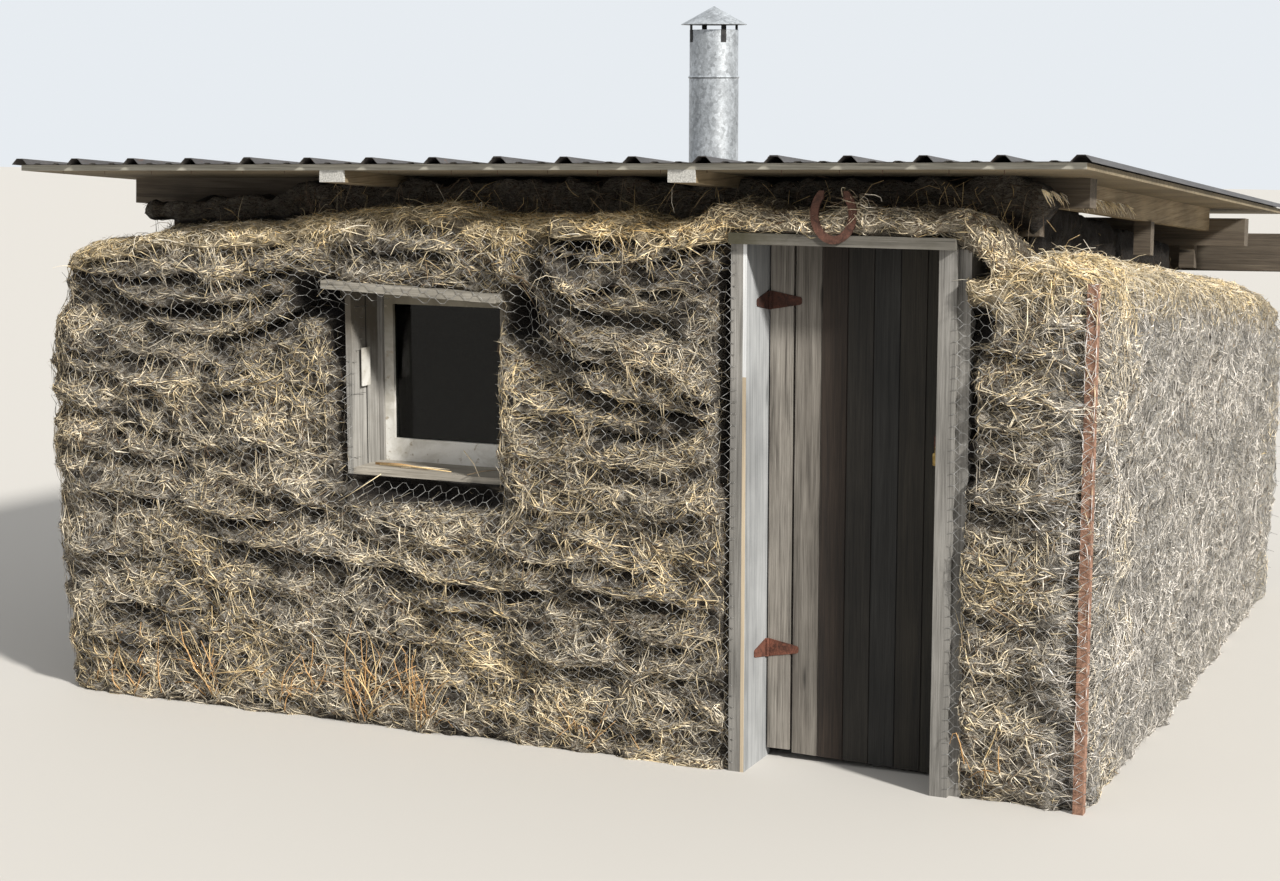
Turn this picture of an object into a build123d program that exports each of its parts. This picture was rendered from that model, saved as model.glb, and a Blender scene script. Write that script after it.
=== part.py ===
from build123d import *
import os
from math import ceil, cos, pi, radians, sin

# Turf house: coursed sod walls round one dirt-floored room, a low shed roof and a plank door
# X runs to the right along the front, Y from front to back, Z up
# The origin is on the ground, under the middle of the roof

# Walls, measured at the foot
wall_length = 3660
wall_depth = 3400
wall_thickness = 420
wall_corner_radius = 110
course_height = 130
nose_height = 36
nose_depth = 20
course_wobble = 9
wobble_step = 2.4
bulge_left = 110
bulge_right = 60
bulge_front = 60
bulge_back = 60
bulge_foot_share = 0.55
bulge_head_share = 0.28
crown_radius = 165
crown_corner = 170
crown_margin = 30

# The sloping plane that the wall tops are cut to, below the deck at the front edge
wall_top_drop = 184
wall_top_pitch = 6.28
cross_fall = 0.93

# Roof
roof_pitch = 4.89
roof_depth = 3660
front_overhang = 180
eave_height = 1890
deck_width = 3680
deck_thickness = 19
rafter_width = 89
rafter_thickness = 38
flat_rafter_spacing = 1220
gable_rafter_spacing = 3240
plate_length = 3470
plate_width = 89
plate_height = 89
plate_setback = 330
purlin_length = 3560
purlin_width = 89
purlin_height = 110
purlin_setback = 2880
beam_length = 3880
beam_width = 150
beam_height = 150
beam_setback = 3060
post_width = 60
post_spacing = 3100
front_post_count = 4
mid_post_setback = 1700

# Ribbed roof sheets
sheet_count = 4
sheet_thickness = 1.5
rib_pitch = 228.6
ribs_per_sheet = 4
rib_height = 19
rib_base = 62
rib_crest = 24
pan_rib_height = 3.5
pan_rib_width = 30
sheet_overhang = 25
lap_clearance = 0.4
lap_edge = 7

# Window
window_left = -680
window_width = 600
window_height = 626
window_drop = 222
window_board = 21
window_board_depth = 235
window_front = 5
sash_setback = 195
sash_thickness = 32
sash_stile = 52
sash_top_rail = 42
sash_bottom_rail = 78
sash_height = 580
glass_thickness = 4
glass_rebate = 8
stop_width = 14
stop_thickness = 18
head_board_thickness = 28
head_board_front = 75
head_board_overhang = 45
head_board_tilt = 2.2

# Door frame
door_left = 712
left_jamb_width = 40
right_jamb_width = 55
reveal_board = 12
door_opening = 609
frame_depth = 235
frame_front = 25
header_thickness = 34
header_front = 50
header_depth = 440
side_board_width = 38
side_board_setback = 24

# Door leaf
leaf_setback = 170
leaf_thickness = 22
leaf_gap = 6
leaf_board_count = 7
leaf_foot_left = 24
leaf_foot_right = 10
first_board_foot = 32
open_seam = 9
seam_width = 4
seam_depth = 5
ledge_height = 140
ledge_thickness = 24
ledge_inset = 14
ledge_bevel = 6
ledge_count = 3
ledge_foot = 250
ledge_drop = 246

# Strap hinges, one near the foot and one near the top
hinge_foot = 365
hinge_drop = 182
flap_length = 104
flap_root = 60
flap_tip = 22
flap_thickness = 3
knuckle_radius = 6
pin_radius = 2.6
pin_clearance = 0.3
knuckle_height = 58
knuckle_gap = 1
hinge_play = 0.5
flap_tip_round = 8

# Hasp and padlock on the free edge of the leaf
hasp_height = 1062
hasp_width = 34
hasp_length = 46
hasp_thickness = 3
hasp_edge = 22
staple_radius = 2.6
staple_reach = 15
padlock_width = 34
padlock_height = 40
padlock_thickness = 13
padlock_round = 5
shackle_radius = 2.8
shackle_span = 21
shackle_rise = 12

# Horseshoe nailed to the header
shoe_width = 146
shoe_height = 160
shoe_web = 25
shoe_thickness = 9
shoe_heel_gap = 62
shoe_x = 1052
shoe_rise = 8
shoe_belly = 0.56

# Sod cap over the door header
cap_height = 92
cap_depth = 300
cap_front = 40
cap_overhang = 60
cap_round = 38

# Steel angle at the front right corner
stake_leg = 32
stake_thickness = 4
stake_drop = 121
stake_x = 1850
stake_front = 30
stake_relief = 5

# Stove pipe
pipe_x = -285
pipe_setback = 2300
pipe_radius = 101.5
pipe_wall = 1.5
pipe_below = 450
pipe_rise = 480
upper_length = 185
pipe_lap = 40
bead_height = 12
bead_reach = 4
deck_hole_clearance = 22
sheet_hole_clearance = 8
collar_reach = 55
collar_rise = 58
fit_clearance = 0.4
cap_radius = 135
cap_gap = 22
cap_cone = 74
strap_width = 22
strap_thickness = 2
strap_count = 4
strap_reach = 50
strap_turn = 45

# Distance up the roof frame for a place behind the wall's front foot
def along_slope(setback):
    return (setback + front_overhang) / cos(radians(roof_pitch))


# Places worked out from the sizes above
wall_front = front_overhang - roof_depth / 2
wall_back = wall_front + wall_depth
wall_half = wall_length / 2
roof_front = -roof_depth / 2
roof_run = roof_depth / cos(radians(roof_pitch))
wall_top_front = eave_height - wall_top_drop
course_count = ceil(wall_top_front / course_height)
stack_height = course_height * course_count
window_right = window_left + window_width
window_top = wall_top_front - window_drop
window_bottom = window_top - window_height
opening_left = door_left + left_jamb_width
leaf_left = opening_left + reveal_board + leaf_gap
door_right = opening_left + reveal_board + door_opening
leaf_width = door_opening - 2 * leaf_gap
frame_right = door_right + right_jamb_width
leaf_front = wall_front + leaf_setback
header_top = wall_top_front
header_underside = header_top - header_thickness
leaf_top = header_underside - leaf_gap

reveal_face = opening_left + reveal_board
leaf_board = leaf_width / leaf_board_count
ledge_step = (leaf_top - ledge_drop - ledge_foot) / (ledge_count - 1)
hinge_heights = (hinge_foot, leaf_top - hinge_drop)
shoe_foot = header_underside + shoe_rise
stake_height = wall_top_front - stake_drop
sash_left = window_left + window_board
sash_right = window_right - window_board
sash_bottom = window_bottom + window_board
sash_top = sash_bottom + sash_height
plate_back = along_slope(plate_setback + plate_width)
purlin_front = along_slope(purlin_setback)
knuckle_offset = knuckle_radius + hinge_play
pin_x = reveal_face + knuckle_offset
pin_y = leaf_front - knuckle_offset
hasp_x = leaf_left + leaf_width - hasp_edge - hasp_width / 2
hang_radius = staple_reach - staple_radius - shackle_radius - fit_clearance
hang_drop = (hang_radius ** 2 - (padlock_thickness / 2) ** 2) ** 0.5
upper_radius = pipe_radius - pipe_wall - fit_clearance
pipe_y = wall_front + pipe_setback
pipe_foot = eave_height - pipe_below
pipe_top = eave_height + pipe_rise
pipe_joint = pipe_top - upper_length
cap_rim = pipe_top + cap_gap
cap_apex = cap_rim + cap_cone

roof_place = Location((0, roof_front, eave_height), (-roof_pitch, -cross_fall, 0))
wall_top_place = Location((0, wall_front, wall_top_front), (-wall_top_pitch, -cross_fall, 0))


# A box from its lowest corner to its highest
def block(low, high):
    size = [b - a for a, b in zip(low, high)]
    middle = [(a + b) / 2 for a, b in zip(low, high)]
    return Pos(*middle) * Box(*size)


# The part of a shape that lies over the wall tops
def above_walls(shape):
    reach = 2 * wall_depth
    return shape - wall_top_place * block((-reach, -reach, -reach), (reach, reach, 0))


# Turf walls
# Share of the full bulge for one course, largest at mid height
def bulge_at(course):
    rise = (course + 0.5) / course_count
    base = bulge_foot_share + (bulge_head_share - bulge_foot_share) * rise
    return base + (1 - base) * sin(pi * rise)


# One course: a slab with rounded corners and worn noses above and below
def sod_course(course):
    share = bulge_at(course)
    wobble = course_wobble * sin(wobble_step * course)
    left = -wall_half - bulge_left * share
    right = wall_half + bulge_right * share - wobble
    front = wall_front - bulge_front * share + wobble
    back = wall_back + bulge_back * share - wobble
    middle = Pos((left + right) / 2, (front + back) / 2, course * course_height)
    outline = RectangleRounded(right - left, back - front, wall_corner_radius)
    slab = middle * extrude(outline, course_height)
    rims = slab.faces().sort_by(Axis.Z)
    edges = list(rims[-1].edges())
    if course > 0:
        edges += list(rims[0].edges())
    return chamfer(edges, nose_height, nose_depth)


# The outer form that rounds off the wall tops along their slope
def crown():
    width = wall_length + bulge_left + bulge_right + 2 * crown_margin
    depth = wall_depth + bulge_front + bulge_back + 2 * crown_margin
    middle = Pos((bulge_right - bulge_left) / 2, (wall_front + wall_back) / 2)
    prism = middle * extrude(RectangleRounded(width, depth, crown_corner), stack_height)
    prism = prism - above_walls(prism)
    return fillet(prism.faces().sort_by(Axis.Z)[-1].edges(), crown_radius)


# The whole ring of wall before the openings are cut
def turf_shell():
    stack = Part() + [sod_course(course) for course in range(course_count)]
    room = block(
        (-wall_half + wall_thickness, wall_front + wall_thickness, 0),
        (wall_half - wall_thickness, wall_back - wall_thickness, stack_height),
    )
    return (stack & crown()) - room


# Window frame
head_place = Location((window_left, wall_front, window_top), (0, head_board_tilt, 0))


def head_board():
    return head_place * block(
        (-head_board_overhang, -head_board_front, 0),
        (window_width, window_board_depth, head_board_thickness),
    )


# The part of a shape that lies under the tilted head board
def under_head(shape):
    reach = 2 * wall_length
    return shape - head_place * block((-reach, -reach, 0), (reach, reach, reach))


def window_jamb(left):
    front = wall_front + window_front
    return under_head(block(
        (left, front, window_bottom),
        (left + window_board, front + window_board_depth, window_top + window_board),
    ))


def window_sill():
    front = wall_front + window_front
    return block(
        (window_left + window_board, front, window_bottom),
        (window_right - window_board, front + window_board_depth, sash_bottom),
    )


def window_stops():
    back = wall_front + sash_setback
    stops = []
    for left in (sash_left, sash_right - stop_thickness):
        stops.append(under_head(block(
            (left, back - stop_width, sash_bottom),
            (left + stop_thickness, back, window_top),
        )))
    return stops


def window_glass():
    front = wall_front + sash_setback + (sash_thickness - glass_thickness) / 2
    return block(
        (sash_left + sash_stile - glass_rebate, front,
         sash_bottom + sash_bottom_rail - glass_rebate),
        (sash_right - sash_stile + glass_rebate, front + glass_thickness,
         sash_top - sash_top_rail + glass_rebate),
    )


def sash_bar(left, right, low, high):
    front = wall_front + sash_setback
    bar = block((left, front, low), (right, front + sash_thickness, high))
    return bar - window_glass()


def sash_stiles():
    return [
        sash_bar(sash_left, sash_left + sash_stile, sash_bottom, sash_top),
        sash_bar(sash_right - sash_stile, sash_right, sash_bottom, sash_top),
    ]


def sash_rails():
    left = sash_left + sash_stile
    right = sash_right - sash_stile
    return [
        sash_bar(left, right, sash_bottom, sash_bottom + sash_bottom_rail),
        sash_bar(left, right, sash_top - sash_top_rail, sash_top),
    ]


# Door frame
def door_jamb(left, right):
    front = wall_front - frame_front
    return block((left, front, 0), (right, front + frame_depth, header_underside))


def door_reveal_board():
    front = wall_front - frame_front
    return block(
        (opening_left, front, 0),
        (reveal_face, front + frame_depth, header_underside),
    )


def door_side_board():
    front = wall_front - frame_front + side_board_setback
    return block(
        (frame_right, front, 0),
        (frame_right + side_board_width, front + frame_depth, header_underside),
    )


def door_header():
    front = wall_front - header_front
    return block(
        (door_left, front, header_underside),
        (frame_right, front + header_depth, header_top),
    )


# Sods laid over the door header, with their ends on the wall tops
def sod_cap():
    front = wall_front - cap_front
    left = door_left - cap_overhang
    right = frame_right + side_board_width + cap_overhang
    cap = block((left, front, header_top), (right, front + cap_depth, header_top + cap_height))
    cap = fillet(cap.faces().sort_by(Axis.Z)[-1].edges(), cap_round)
    doorway = block(
        (door_left, front, header_top),
        (frame_right + side_board_width, front + cap_depth, header_top + cap_height),
    )
    return above_walls(cap - doorway) + (cap & doorway)


# Door leaf
def first_board():
    return block(
        (leaf_left, leaf_front, first_board_foot),
        (leaf_left + leaf_board - open_seam, leaf_front + leaf_thickness, leaf_top),
    )


def leaf_boards():
    left = leaf_left + leaf_board
    right = leaf_left + leaf_width
    back = leaf_front + leaf_thickness
    outline = Polyline(
        (left, leaf_foot_left), (right, leaf_foot_right),
        (right, leaf_top), (left, leaf_top), close=True,
    )
    face = Pos(0, back, 0) * Rot(90, 0, 0) * make_face(outline)
    boards = extrude(face, leaf_thickness, dir=(0, -1, 0))
    for seam in range(2, leaf_board_count):
        x = leaf_left + seam * leaf_board
        boards -= block(
            (x - seam_width / 2, leaf_front, 0),
            (x + seam_width / 2, leaf_front + seam_depth, leaf_top),
        )
    return boards


def leaf_ledges():
    front = leaf_front + leaf_thickness
    ledges = []
    for index in range(ledge_count):
        height = ledge_foot + ledge_step * index
        ledge = block(
            (leaf_left + ledge_inset, front, height),
            (leaf_left + leaf_width - ledge_inset, front + ledge_thickness, height + ledge_height),
        )
        ledges.append(chamfer(ledge.faces().sort_by(Axis.Y)[-1].edges(), ledge_bevel))
    return ledges


# Strap hinges
# A tapered flap lying in XZ, root on the pin line, tip along +X
def flap_plate():
    outline = Polyline(
        (0, -flap_root / 2), (flap_length, -flap_tip / 2),
        (flap_length, flap_tip / 2), (0, flap_root / 2), close=True,
    )
    plate = extrude(Rot(90, 0, 0) * make_face(outline), flap_thickness, dir=(0, 1, 0))
    tips = plate.edges().filter_by(Axis.Y).sort_by(Axis.X)[-2:]
    return fillet(tips, flap_tip_round)


def knuckle(low, high, radius):
    return Pos(0, 0, (low + high) / 2) * Cylinder(radius, high - low)


def hinge_jamb_side(height):
    third = knuckle_height / 6
    plate = Pos(-knuckle_offset, 0, 0) * Rot(0, 0, -90) * flap_plate()
    middle = knuckle(-third - knuckle_gap, third + knuckle_gap, knuckle_radius + knuckle_gap)
    ends = [
        knuckle(-knuckle_height / 2, -third - knuckle_gap, knuckle_radius),
        knuckle(third + knuckle_gap, knuckle_height / 2, knuckle_radius),
    ]
    pin = knuckle(-knuckle_height / 2, knuckle_height / 2, pin_radius)
    return Pos(pin_x, pin_y, height) * ((plate - middle) + ends + pin)


def hinge_leaf_side(height):
    third = knuckle_height / 6
    plate = Pos(0, knuckle_offset - flap_thickness, 0) * flap_plate()
    for end in (-1, 1):
        plate -= knuckle(
            min(end * third, end * flap_root / 2),
            max(end * third, end * flap_root / 2),
            knuckle_radius + knuckle_gap,
        )
    barrel = knuckle(-third, third, knuckle_radius)
    bore = knuckle(-third, third, pin_radius + pin_clearance)
    return Pos(pin_x, pin_y, height) * ((plate + barrel) - bore)


# Hasp and padlock
def hasp():
    place = Pos(hasp_x, leaf_front, hasp_height)
    plate = block(
        (-hasp_width / 2, -hasp_thickness, -hasp_length / 2),
        (hasp_width / 2, 0, hasp_length / 2),
    )
    ring = Pos(0, -hasp_thickness, 0) * Rot(0, 90, 0) * Torus(staple_reach, staple_radius)
    behind = block(
        (-hasp_width, -hasp_thickness, -hasp_length),
        (hasp_width, staple_reach * 2, hasp_length),
    )
    return place * (plate + (ring - behind))


def padlock():
    front = leaf_front - hasp_thickness - padlock_thickness / 2
    arch_z = hasp_height - hang_drop - shackle_span / 2
    body_top = arch_z - shackle_rise
    body = block(
        (-padlock_width / 2, -padlock_thickness / 2, body_top - padlock_height),
        (padlock_width / 2, padlock_thickness / 2, body_top),
    )
    body = fillet(body.edges().filter_by(Axis.Y), padlock_round)
    arch = Pos(0, 0, arch_z) * Rot(90, 0, 0) * Torus(shackle_span / 2, shackle_radius)
    arch -= block(
        (-padlock_width, -padlock_width, arch_z - padlock_width),
        (padlock_width, padlock_width, arch_z),
    )
    legs = [
        Pos(side * shackle_span / 2, 0, arch_z - shackle_rise / 2)
        * Cylinder(shackle_radius, shackle_rise)
        for side in (-1, 1)
    ]
    return Pos(hasp_x, front, 0) * (body + arch + legs)


# Horseshoe, open at the top, with turned heels
def horseshoe():
    outer = Ellipse(shoe_width / 2, shoe_height * shoe_belly)
    inner = Ellipse(shoe_width / 2 - shoe_web, shoe_height * shoe_belly - shoe_web)
    throat = Pos(0, shoe_height) * Rectangle(shoe_heel_gap, shoe_height * 2)
    rise = shoe_height - shoe_height * shoe_belly
    trim = Pos(0, rise + shoe_height) * Rectangle(shoe_width * 2, shoe_height * 2)
    plate = extrude(outer - inner - throat - trim, shoe_thickness)
    place = Pos(shoe_x, wall_front - header_front, shoe_foot + shoe_height * shoe_belly)
    return place * Rot(90, 0, 0) * plate


# Steel angle at the front right corner
def corner_stake():
    front = wall_front - stake_front
    along = block(
        (stake_x - stake_leg, front, 0),
        (stake_x, front + stake_thickness, stake_height),
    )
    back = block(
        (stake_x - stake_thickness, front, 0),
        (stake_x, front + stake_leg, stake_height),
    )
    return along + back


# Everything outside the stake, where the sods are worn back to it
def stake_corner():
    front = wall_front - stake_front
    reach = bulge_front + bulge_right + wall_corner_radius
    before = block(
        (stake_x - stake_leg - stake_relief, front - reach, 0),
        (stake_x + reach, front + stake_thickness, stack_height),
    )
    beside = block(
        (stake_x - stake_thickness, front - reach, 0),
        (stake_x + reach, front + stake_leg + stake_relief, stack_height),
    )
    return before + beside


# Turf pieces, split beside, under and over the openings
def turf_pieces():
    reach = wall_length
    inner_front = wall_front + wall_thickness
    inner_back = wall_back - wall_thickness
    sill_z = window_bottom
    high = stack_height
    shell = turf_shell()
    front = shell & block((-reach, -reach, 0), (reach, inner_front, high))
    window_zone = block((window_left, -reach, sill_z), (window_right, inner_front, high))
    over = window_zone - under_head(window_zone)
    board = head_board()
    right_pier = frame_right + side_board_width
    return {
        "turf_front_left": front & block((-reach, -reach, 0), (window_left, inner_front, high))
        - board,
        "turf_under_window": front
        & block((window_left, -reach, 0), (window_right, inner_front, sill_z)),
        "turf_over_window": (front & over) - board,
        "turf_window_pier": (front & block((window_right, -reach, 0),
                                           (door_left, inner_front, high))) - board,
        "turf_right_pier": (front & block((right_pier, -reach, 0),
                                          (reach, inner_front, high))) - stake_corner(),
        "turf_left_wall": shell & block((-reach, inner_front, 0), (0, inner_back, high)),
        "turf_right_wall": shell & block((0, inner_front, 0), (reach, inner_back, high)),
        "turf_back_wall": shell & block((-reach, inner_back, 0), (reach, reach, high)),
    }


# Roof timbers, in the roof frame: X across, Y up the slope, Z off the deck's underside
def flat_rafters():
    return [
        block(
            (x - rafter_width / 2, 0, -rafter_thickness),
            (x + rafter_width / 2, roof_run, 0),
        )
        for x in (-flat_rafter_spacing / 2, flat_rafter_spacing / 2)
    ]


def gable_rafter(side):
    x = side * gable_rafter_spacing / 2
    return block(
        (x - rafter_thickness / 2, plate_back, -rafter_width),
        (x + rafter_thickness / 2, purlin_front, 0),
    )


def front_plate():
    plate = block(
        (-plate_length / 2, plate_back - plate_width, -plate_height),
        (plate_length / 2, plate_back, 0),
    )
    return plate - flat_rafters()


def rear_purlin():
    return block(
        (-purlin_length / 2, purlin_front, -rafter_thickness - purlin_height),
        (purlin_length / 2, purlin_front + purlin_width, -rafter_thickness),
    )


def back_beam():
    front = beam_setback / cos(radians(wall_top_pitch))
    return wall_top_place * block(
        (-beam_length / 2, front, 0),
        (beam_length / 2, front + beam_width, beam_height),
    )


# A short post from a timber's underside down to the wall top
def cripple_post(x, y, top):
    post = block(
        (x - post_width / 2, y - post_width / 2, top - 2 * beam_height),
        (x + post_width / 2, y + post_width / 2, top),
    )
    return above_walls(roof_place * post)


def front_posts():
    y = plate_back - plate_width / 2
    step = post_spacing / (front_post_count - 1)
    return [
        cripple_post(-post_spacing / 2 + step * i, y, -plate_height)
        for i in range(front_post_count)
    ]


def side_posts(side):
    gable_x = side * gable_rafter_spacing / 2
    purlin_y = purlin_front + purlin_width / 2
    return [
        cripple_post(gable_x, along_slope(mid_post_setback), -rafter_width),
        cripple_post(side * post_spacing / 2, purlin_y, -rafter_thickness - purlin_height),
    ]


# Packing blocks between the back beam and the flat rafters
def rear_packers():
    reach = 2 * wall_depth
    beam_top = wall_top_place * block((-reach, -reach, -reach), (reach, reach, beam_height))
    y = along_slope(beam_setback + beam_width / 2)
    packers = []
    for x in (-flat_rafter_spacing / 2, flat_rafter_spacing / 2):
        packer = block(
            (x - rafter_width / 2, y - post_width / 2, -rafter_thickness - beam_height),
            (x + rafter_width / 2, y + post_width / 2, -rafter_thickness),
        )
        packers.append(roof_place * packer - beam_top)
    return packers


# Roof deck and ribbed sheets
def pipe_hole(radius):
    return Pos(pipe_x, pipe_y, pipe_top / 2) * Cylinder(radius, pipe_top * 2)


def deck_half(left, right):
    deck = roof_place * block((left, 0, 0), (right, roof_run, deck_thickness))
    return deck - pipe_hole(pipe_radius + deck_hole_clearance)


# Underside of one sheet, as X and height above the deck
def sheet_line(first_rib, last_rib):
    half = rib_base / 2
    crest = rib_crest / 2
    lift = sheet_thickness + lap_clearance
    start = -sheet_count * ribs_per_sheet * rib_pitch / 2
    line = []
    for rib in range(first_rib, last_rib + 1):
        x = start + rib * rib_pitch
        lapped_over = rib == first_rib and rib > 0
        lapped_under = rib == last_rib and rib < sheet_count * ribs_per_sheet
        if lapped_over:
            line += [(x - crest - lap_edge, rib_height + lift - lap_edge),
                     (x - crest, rib_height + lift), (x + crest, rib_height + lift),
                     (x + half + lift, 0)]
        elif lapped_under:
            line += [(x - half, 0), (x - crest, rib_height), (x + crest, rib_height),
                     (x + crest + lap_edge, rib_height - lap_edge)]
        else:
            line += [(x - half, 0), (x - crest, rib_height),
                     (x + crest, rib_height), (x + half, 0)]
        if rib < last_rib:
            for share in (1 / 3, 2 / 3):
                middle = x + rib_pitch * share
                line += [(middle - pan_rib_width / 2, 0),
                         (middle - pan_rib_width / 4, pan_rib_height),
                         (middle + pan_rib_width / 4, pan_rib_height),
                         (middle + pan_rib_width / 2, 0)]
    return line


def roof_sheet(index):
    first_rib = index * ribs_per_sheet
    under = sheet_line(first_rib, first_rib + ribs_per_sheet)
    over = [(x, z + sheet_thickness) for x, z in reversed(under)]
    outline = make_face(Polyline(*under, *over, close=True))
    length = roof_run + 2 * sheet_overhang
    upright = Pos(0, -sheet_overhang, deck_thickness) * Rot(90, 0, 0) * outline
    sheet = roof_place * extrude(upright, length, dir=(0, 1, 0))
    return sheet - pipe_hole(pipe_radius + sheet_hole_clearance)


# Stove pipe
def turned(points):
    profile = make_face(Polyline(*points, close=True))
    return Pos(pipe_x, pipe_y, 0) * revolve(Rot(90, 0, 0) * profile, Axis.Z)


def lower_pipe():
    outer = pipe_radius
    inner = pipe_radius - pipe_wall
    return turned([
        (inner, pipe_foot), (outer, pipe_foot), (outer, pipe_joint - bead_height),
        (outer + bead_reach, pipe_joint - bead_height / 2), (outer, pipe_joint),
        (inner, pipe_joint),
    ])


def upper_pipe():
    outer = upper_radius
    inner = upper_radius - pipe_wall
    low = pipe_joint - pipe_lap
    return turned([(inner, low), (outer, low), (outer, pipe_top), (inner, pipe_top)])


# Storm collar: a cone that sheds water from the pipe on to the ribs
def storm_collar():
    rib_top = deck_thickness + rib_height + sheet_thickness
    seat = roof_place * Pos(pipe_x, along_slope(pipe_setback), rib_top)
    low = seat.position.Z - collar_rise
    top = seat.position.Z + collar_rise
    outer = pipe_radius + 2 * collar_reach
    inner = pipe_radius + fit_clearance
    cone = turned([
        (inner, top - pipe_wall), (inner, top), (outer, low), (outer, low - pipe_wall),
    ])
    reach = 2 * wall_length
    return cone - roof_place * block((-reach, -reach, -reach), (reach, reach, rib_top))


def pipe_cap():
    return turned([
        (0, cap_apex - pipe_wall), (cap_radius, cap_rim - pipe_wall),
        (cap_radius, cap_rim), (0, cap_apex),
    ])


# Straps riveted to the pipe that carry the cap
def cap_straps():
    over_cap = turned([
        (0, cap_apex - pipe_wall), (cap_radius, cap_rim - pipe_wall),
        (cap_radius, cap_apex), (0, cap_apex),
    ])
    straps = []
    for turn in range(strap_count):
        strap = block(
            (upper_radius, -strap_width / 2, pipe_top - strap_reach),
            (upper_radius + strap_thickness, strap_width / 2, cap_apex),
        )
        hug = Cylinder(upper_radius + fit_clearance, 2 * cap_apex)
        angle = strap_turn + 360 / strap_count * turn
        straps.append(Pos(pipe_x, pipe_y, 0) * Rot(0, 0, angle) * (strap - hug) - over_cap)
    return straps


# Every node, by the name of its file
def house():
    pieces = turf_pieces()
    pieces["turf_over_door"] = sod_cap()
    pieces["window_head_board"] = head_board()
    pieces["window_jambs"] = [
        window_jamb(window_left), window_jamb(window_right - window_board)
    ]
    pieces["window_sill"] = window_sill()
    pieces["window_stops"] = window_stops()
    pieces["sash_stiles"] = sash_stiles()
    pieces["sash_rails"] = sash_rails()
    pieces["window_glass"] = window_glass()
    pieces["door_left_jamb"] = door_jamb(door_left, opening_left)
    pieces["door_right_jamb"] = door_jamb(door_right, frame_right)
    pieces["door_reveal_board"] = door_reveal_board()
    pieces["door_side_board"] = door_side_board()
    pieces["door_header"] = door_header()
    pieces["door_leaf_boards"] = [first_board(), leaf_boards()]
    pieces["door_ledges"] = leaf_ledges()
    pieces["hinge_leaf_flaps"] = [hinge_leaf_side(height) for height in hinge_heights]
    pieces["hinge_jamb_flaps"] = [hinge_jamb_side(height) for height in hinge_heights]
    pieces["door_hasp"] = hasp()
    pieces["door_padlock"] = padlock()
    pieces["horseshoe"] = horseshoe()
    pieces["corner_stake"] = corner_stake()
    pieces["front_plate"] = roof_place * front_plate()
    rafters = flat_rafters() + [gable_rafter(-1), gable_rafter(1)]
    pieces["rafters"] = [roof_place * rafter for rafter in rafters]
    pieces["rear_purlin"] = roof_place * rear_purlin()
    pieces["back_beam"] = back_beam()
    pieces["cripple_posts"] = front_posts() + side_posts(-1) + side_posts(1)
    pieces["rear_packers"] = rear_packers()
    pieces["deck_left"] = deck_half(-deck_width / 2, 0)
    pieces["deck_right"] = deck_half(0, deck_width / 2)
    for index in range(sheet_count):
        pieces[f"roof_sheet_{index + 1}"] = roof_sheet(index)
    pieces["chimney_lower_pipe"] = lower_pipe()
    pieces["chimney_upper_pipe"] = upper_pipe()
    pieces["chimney_collar"] = storm_collar()
    pieces["chimney_cap"] = pipe_cap()
    pieces["chimney_cap_straps"] = cap_straps()
    return pieces


os.makedirs("parts", exist_ok=True)
for name, piece in house().items():
    members = piece if isinstance(piece, list) else [piece]
    solids = [solid for member in members for solid in member.solids()]
    export_step(Compound(children=solids), f"parts/{name}.step")
    print(name, len(solids))
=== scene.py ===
import math

import bmesh
import bpy
import numpy as np
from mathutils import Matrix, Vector, noise
from mathutils.bvhtree import BVHTree


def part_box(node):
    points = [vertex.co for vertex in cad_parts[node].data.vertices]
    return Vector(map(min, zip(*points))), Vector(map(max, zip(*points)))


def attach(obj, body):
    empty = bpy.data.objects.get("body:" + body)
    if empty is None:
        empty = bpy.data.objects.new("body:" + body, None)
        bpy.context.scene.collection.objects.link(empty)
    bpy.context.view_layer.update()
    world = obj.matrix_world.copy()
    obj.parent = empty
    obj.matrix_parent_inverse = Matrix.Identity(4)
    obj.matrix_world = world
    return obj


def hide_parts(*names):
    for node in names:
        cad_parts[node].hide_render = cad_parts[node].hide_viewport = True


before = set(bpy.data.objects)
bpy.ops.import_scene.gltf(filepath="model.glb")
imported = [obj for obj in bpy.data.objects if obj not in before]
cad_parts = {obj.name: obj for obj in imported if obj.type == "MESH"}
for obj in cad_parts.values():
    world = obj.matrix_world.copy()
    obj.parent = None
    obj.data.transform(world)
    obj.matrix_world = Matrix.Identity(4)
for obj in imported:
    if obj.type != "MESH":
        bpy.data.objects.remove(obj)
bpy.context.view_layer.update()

# Turf house: matted sods under wire netting, grey boards, a ribbed steel roof and a stove pipe
# Metres, X to the right along the front, Y from front to back, Z up

rng = np.random.default_rng(41)
sceneNow = bpy.context.scene


def addObject(name, mesh, material, body="house", smooth=False):
    piece = bpy.data.objects.new(name, mesh)
    sceneNow.collection.objects.link(piece)
    if material:
        mesh.materials.append(material)
    if smooth:
        mesh.polygons.foreach_set("use_smooth", [True] * len(mesh.polygons))
    if body:
        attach(piece, body)
    return piece


def meshFrom(bm, name):
    mesh = bpy.data.meshes.new(name)
    bm.to_mesh(mesh)
    bm.free()
    return mesh


def smoothStep(low, high, value):
    share = min(1.0, max(0.0, (value - low) / (high - low)))
    return share * share * (3 - 2 * share)


def wobble(x, y, z, rate, seed):
    return noise.noise(Vector((x * rate + seed, y * rate - seed, z * rate + 0.5 * seed)))


# Several fields added up at a place, each given as size, stretch in height, rate and seed
def waves(fields, x, y, z, total=0.0):
    for size, rise, rate, seed in fields:
        total += size * wobble(x, y, rise * z, rate, seed)
    return total


# Camera and light

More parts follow.
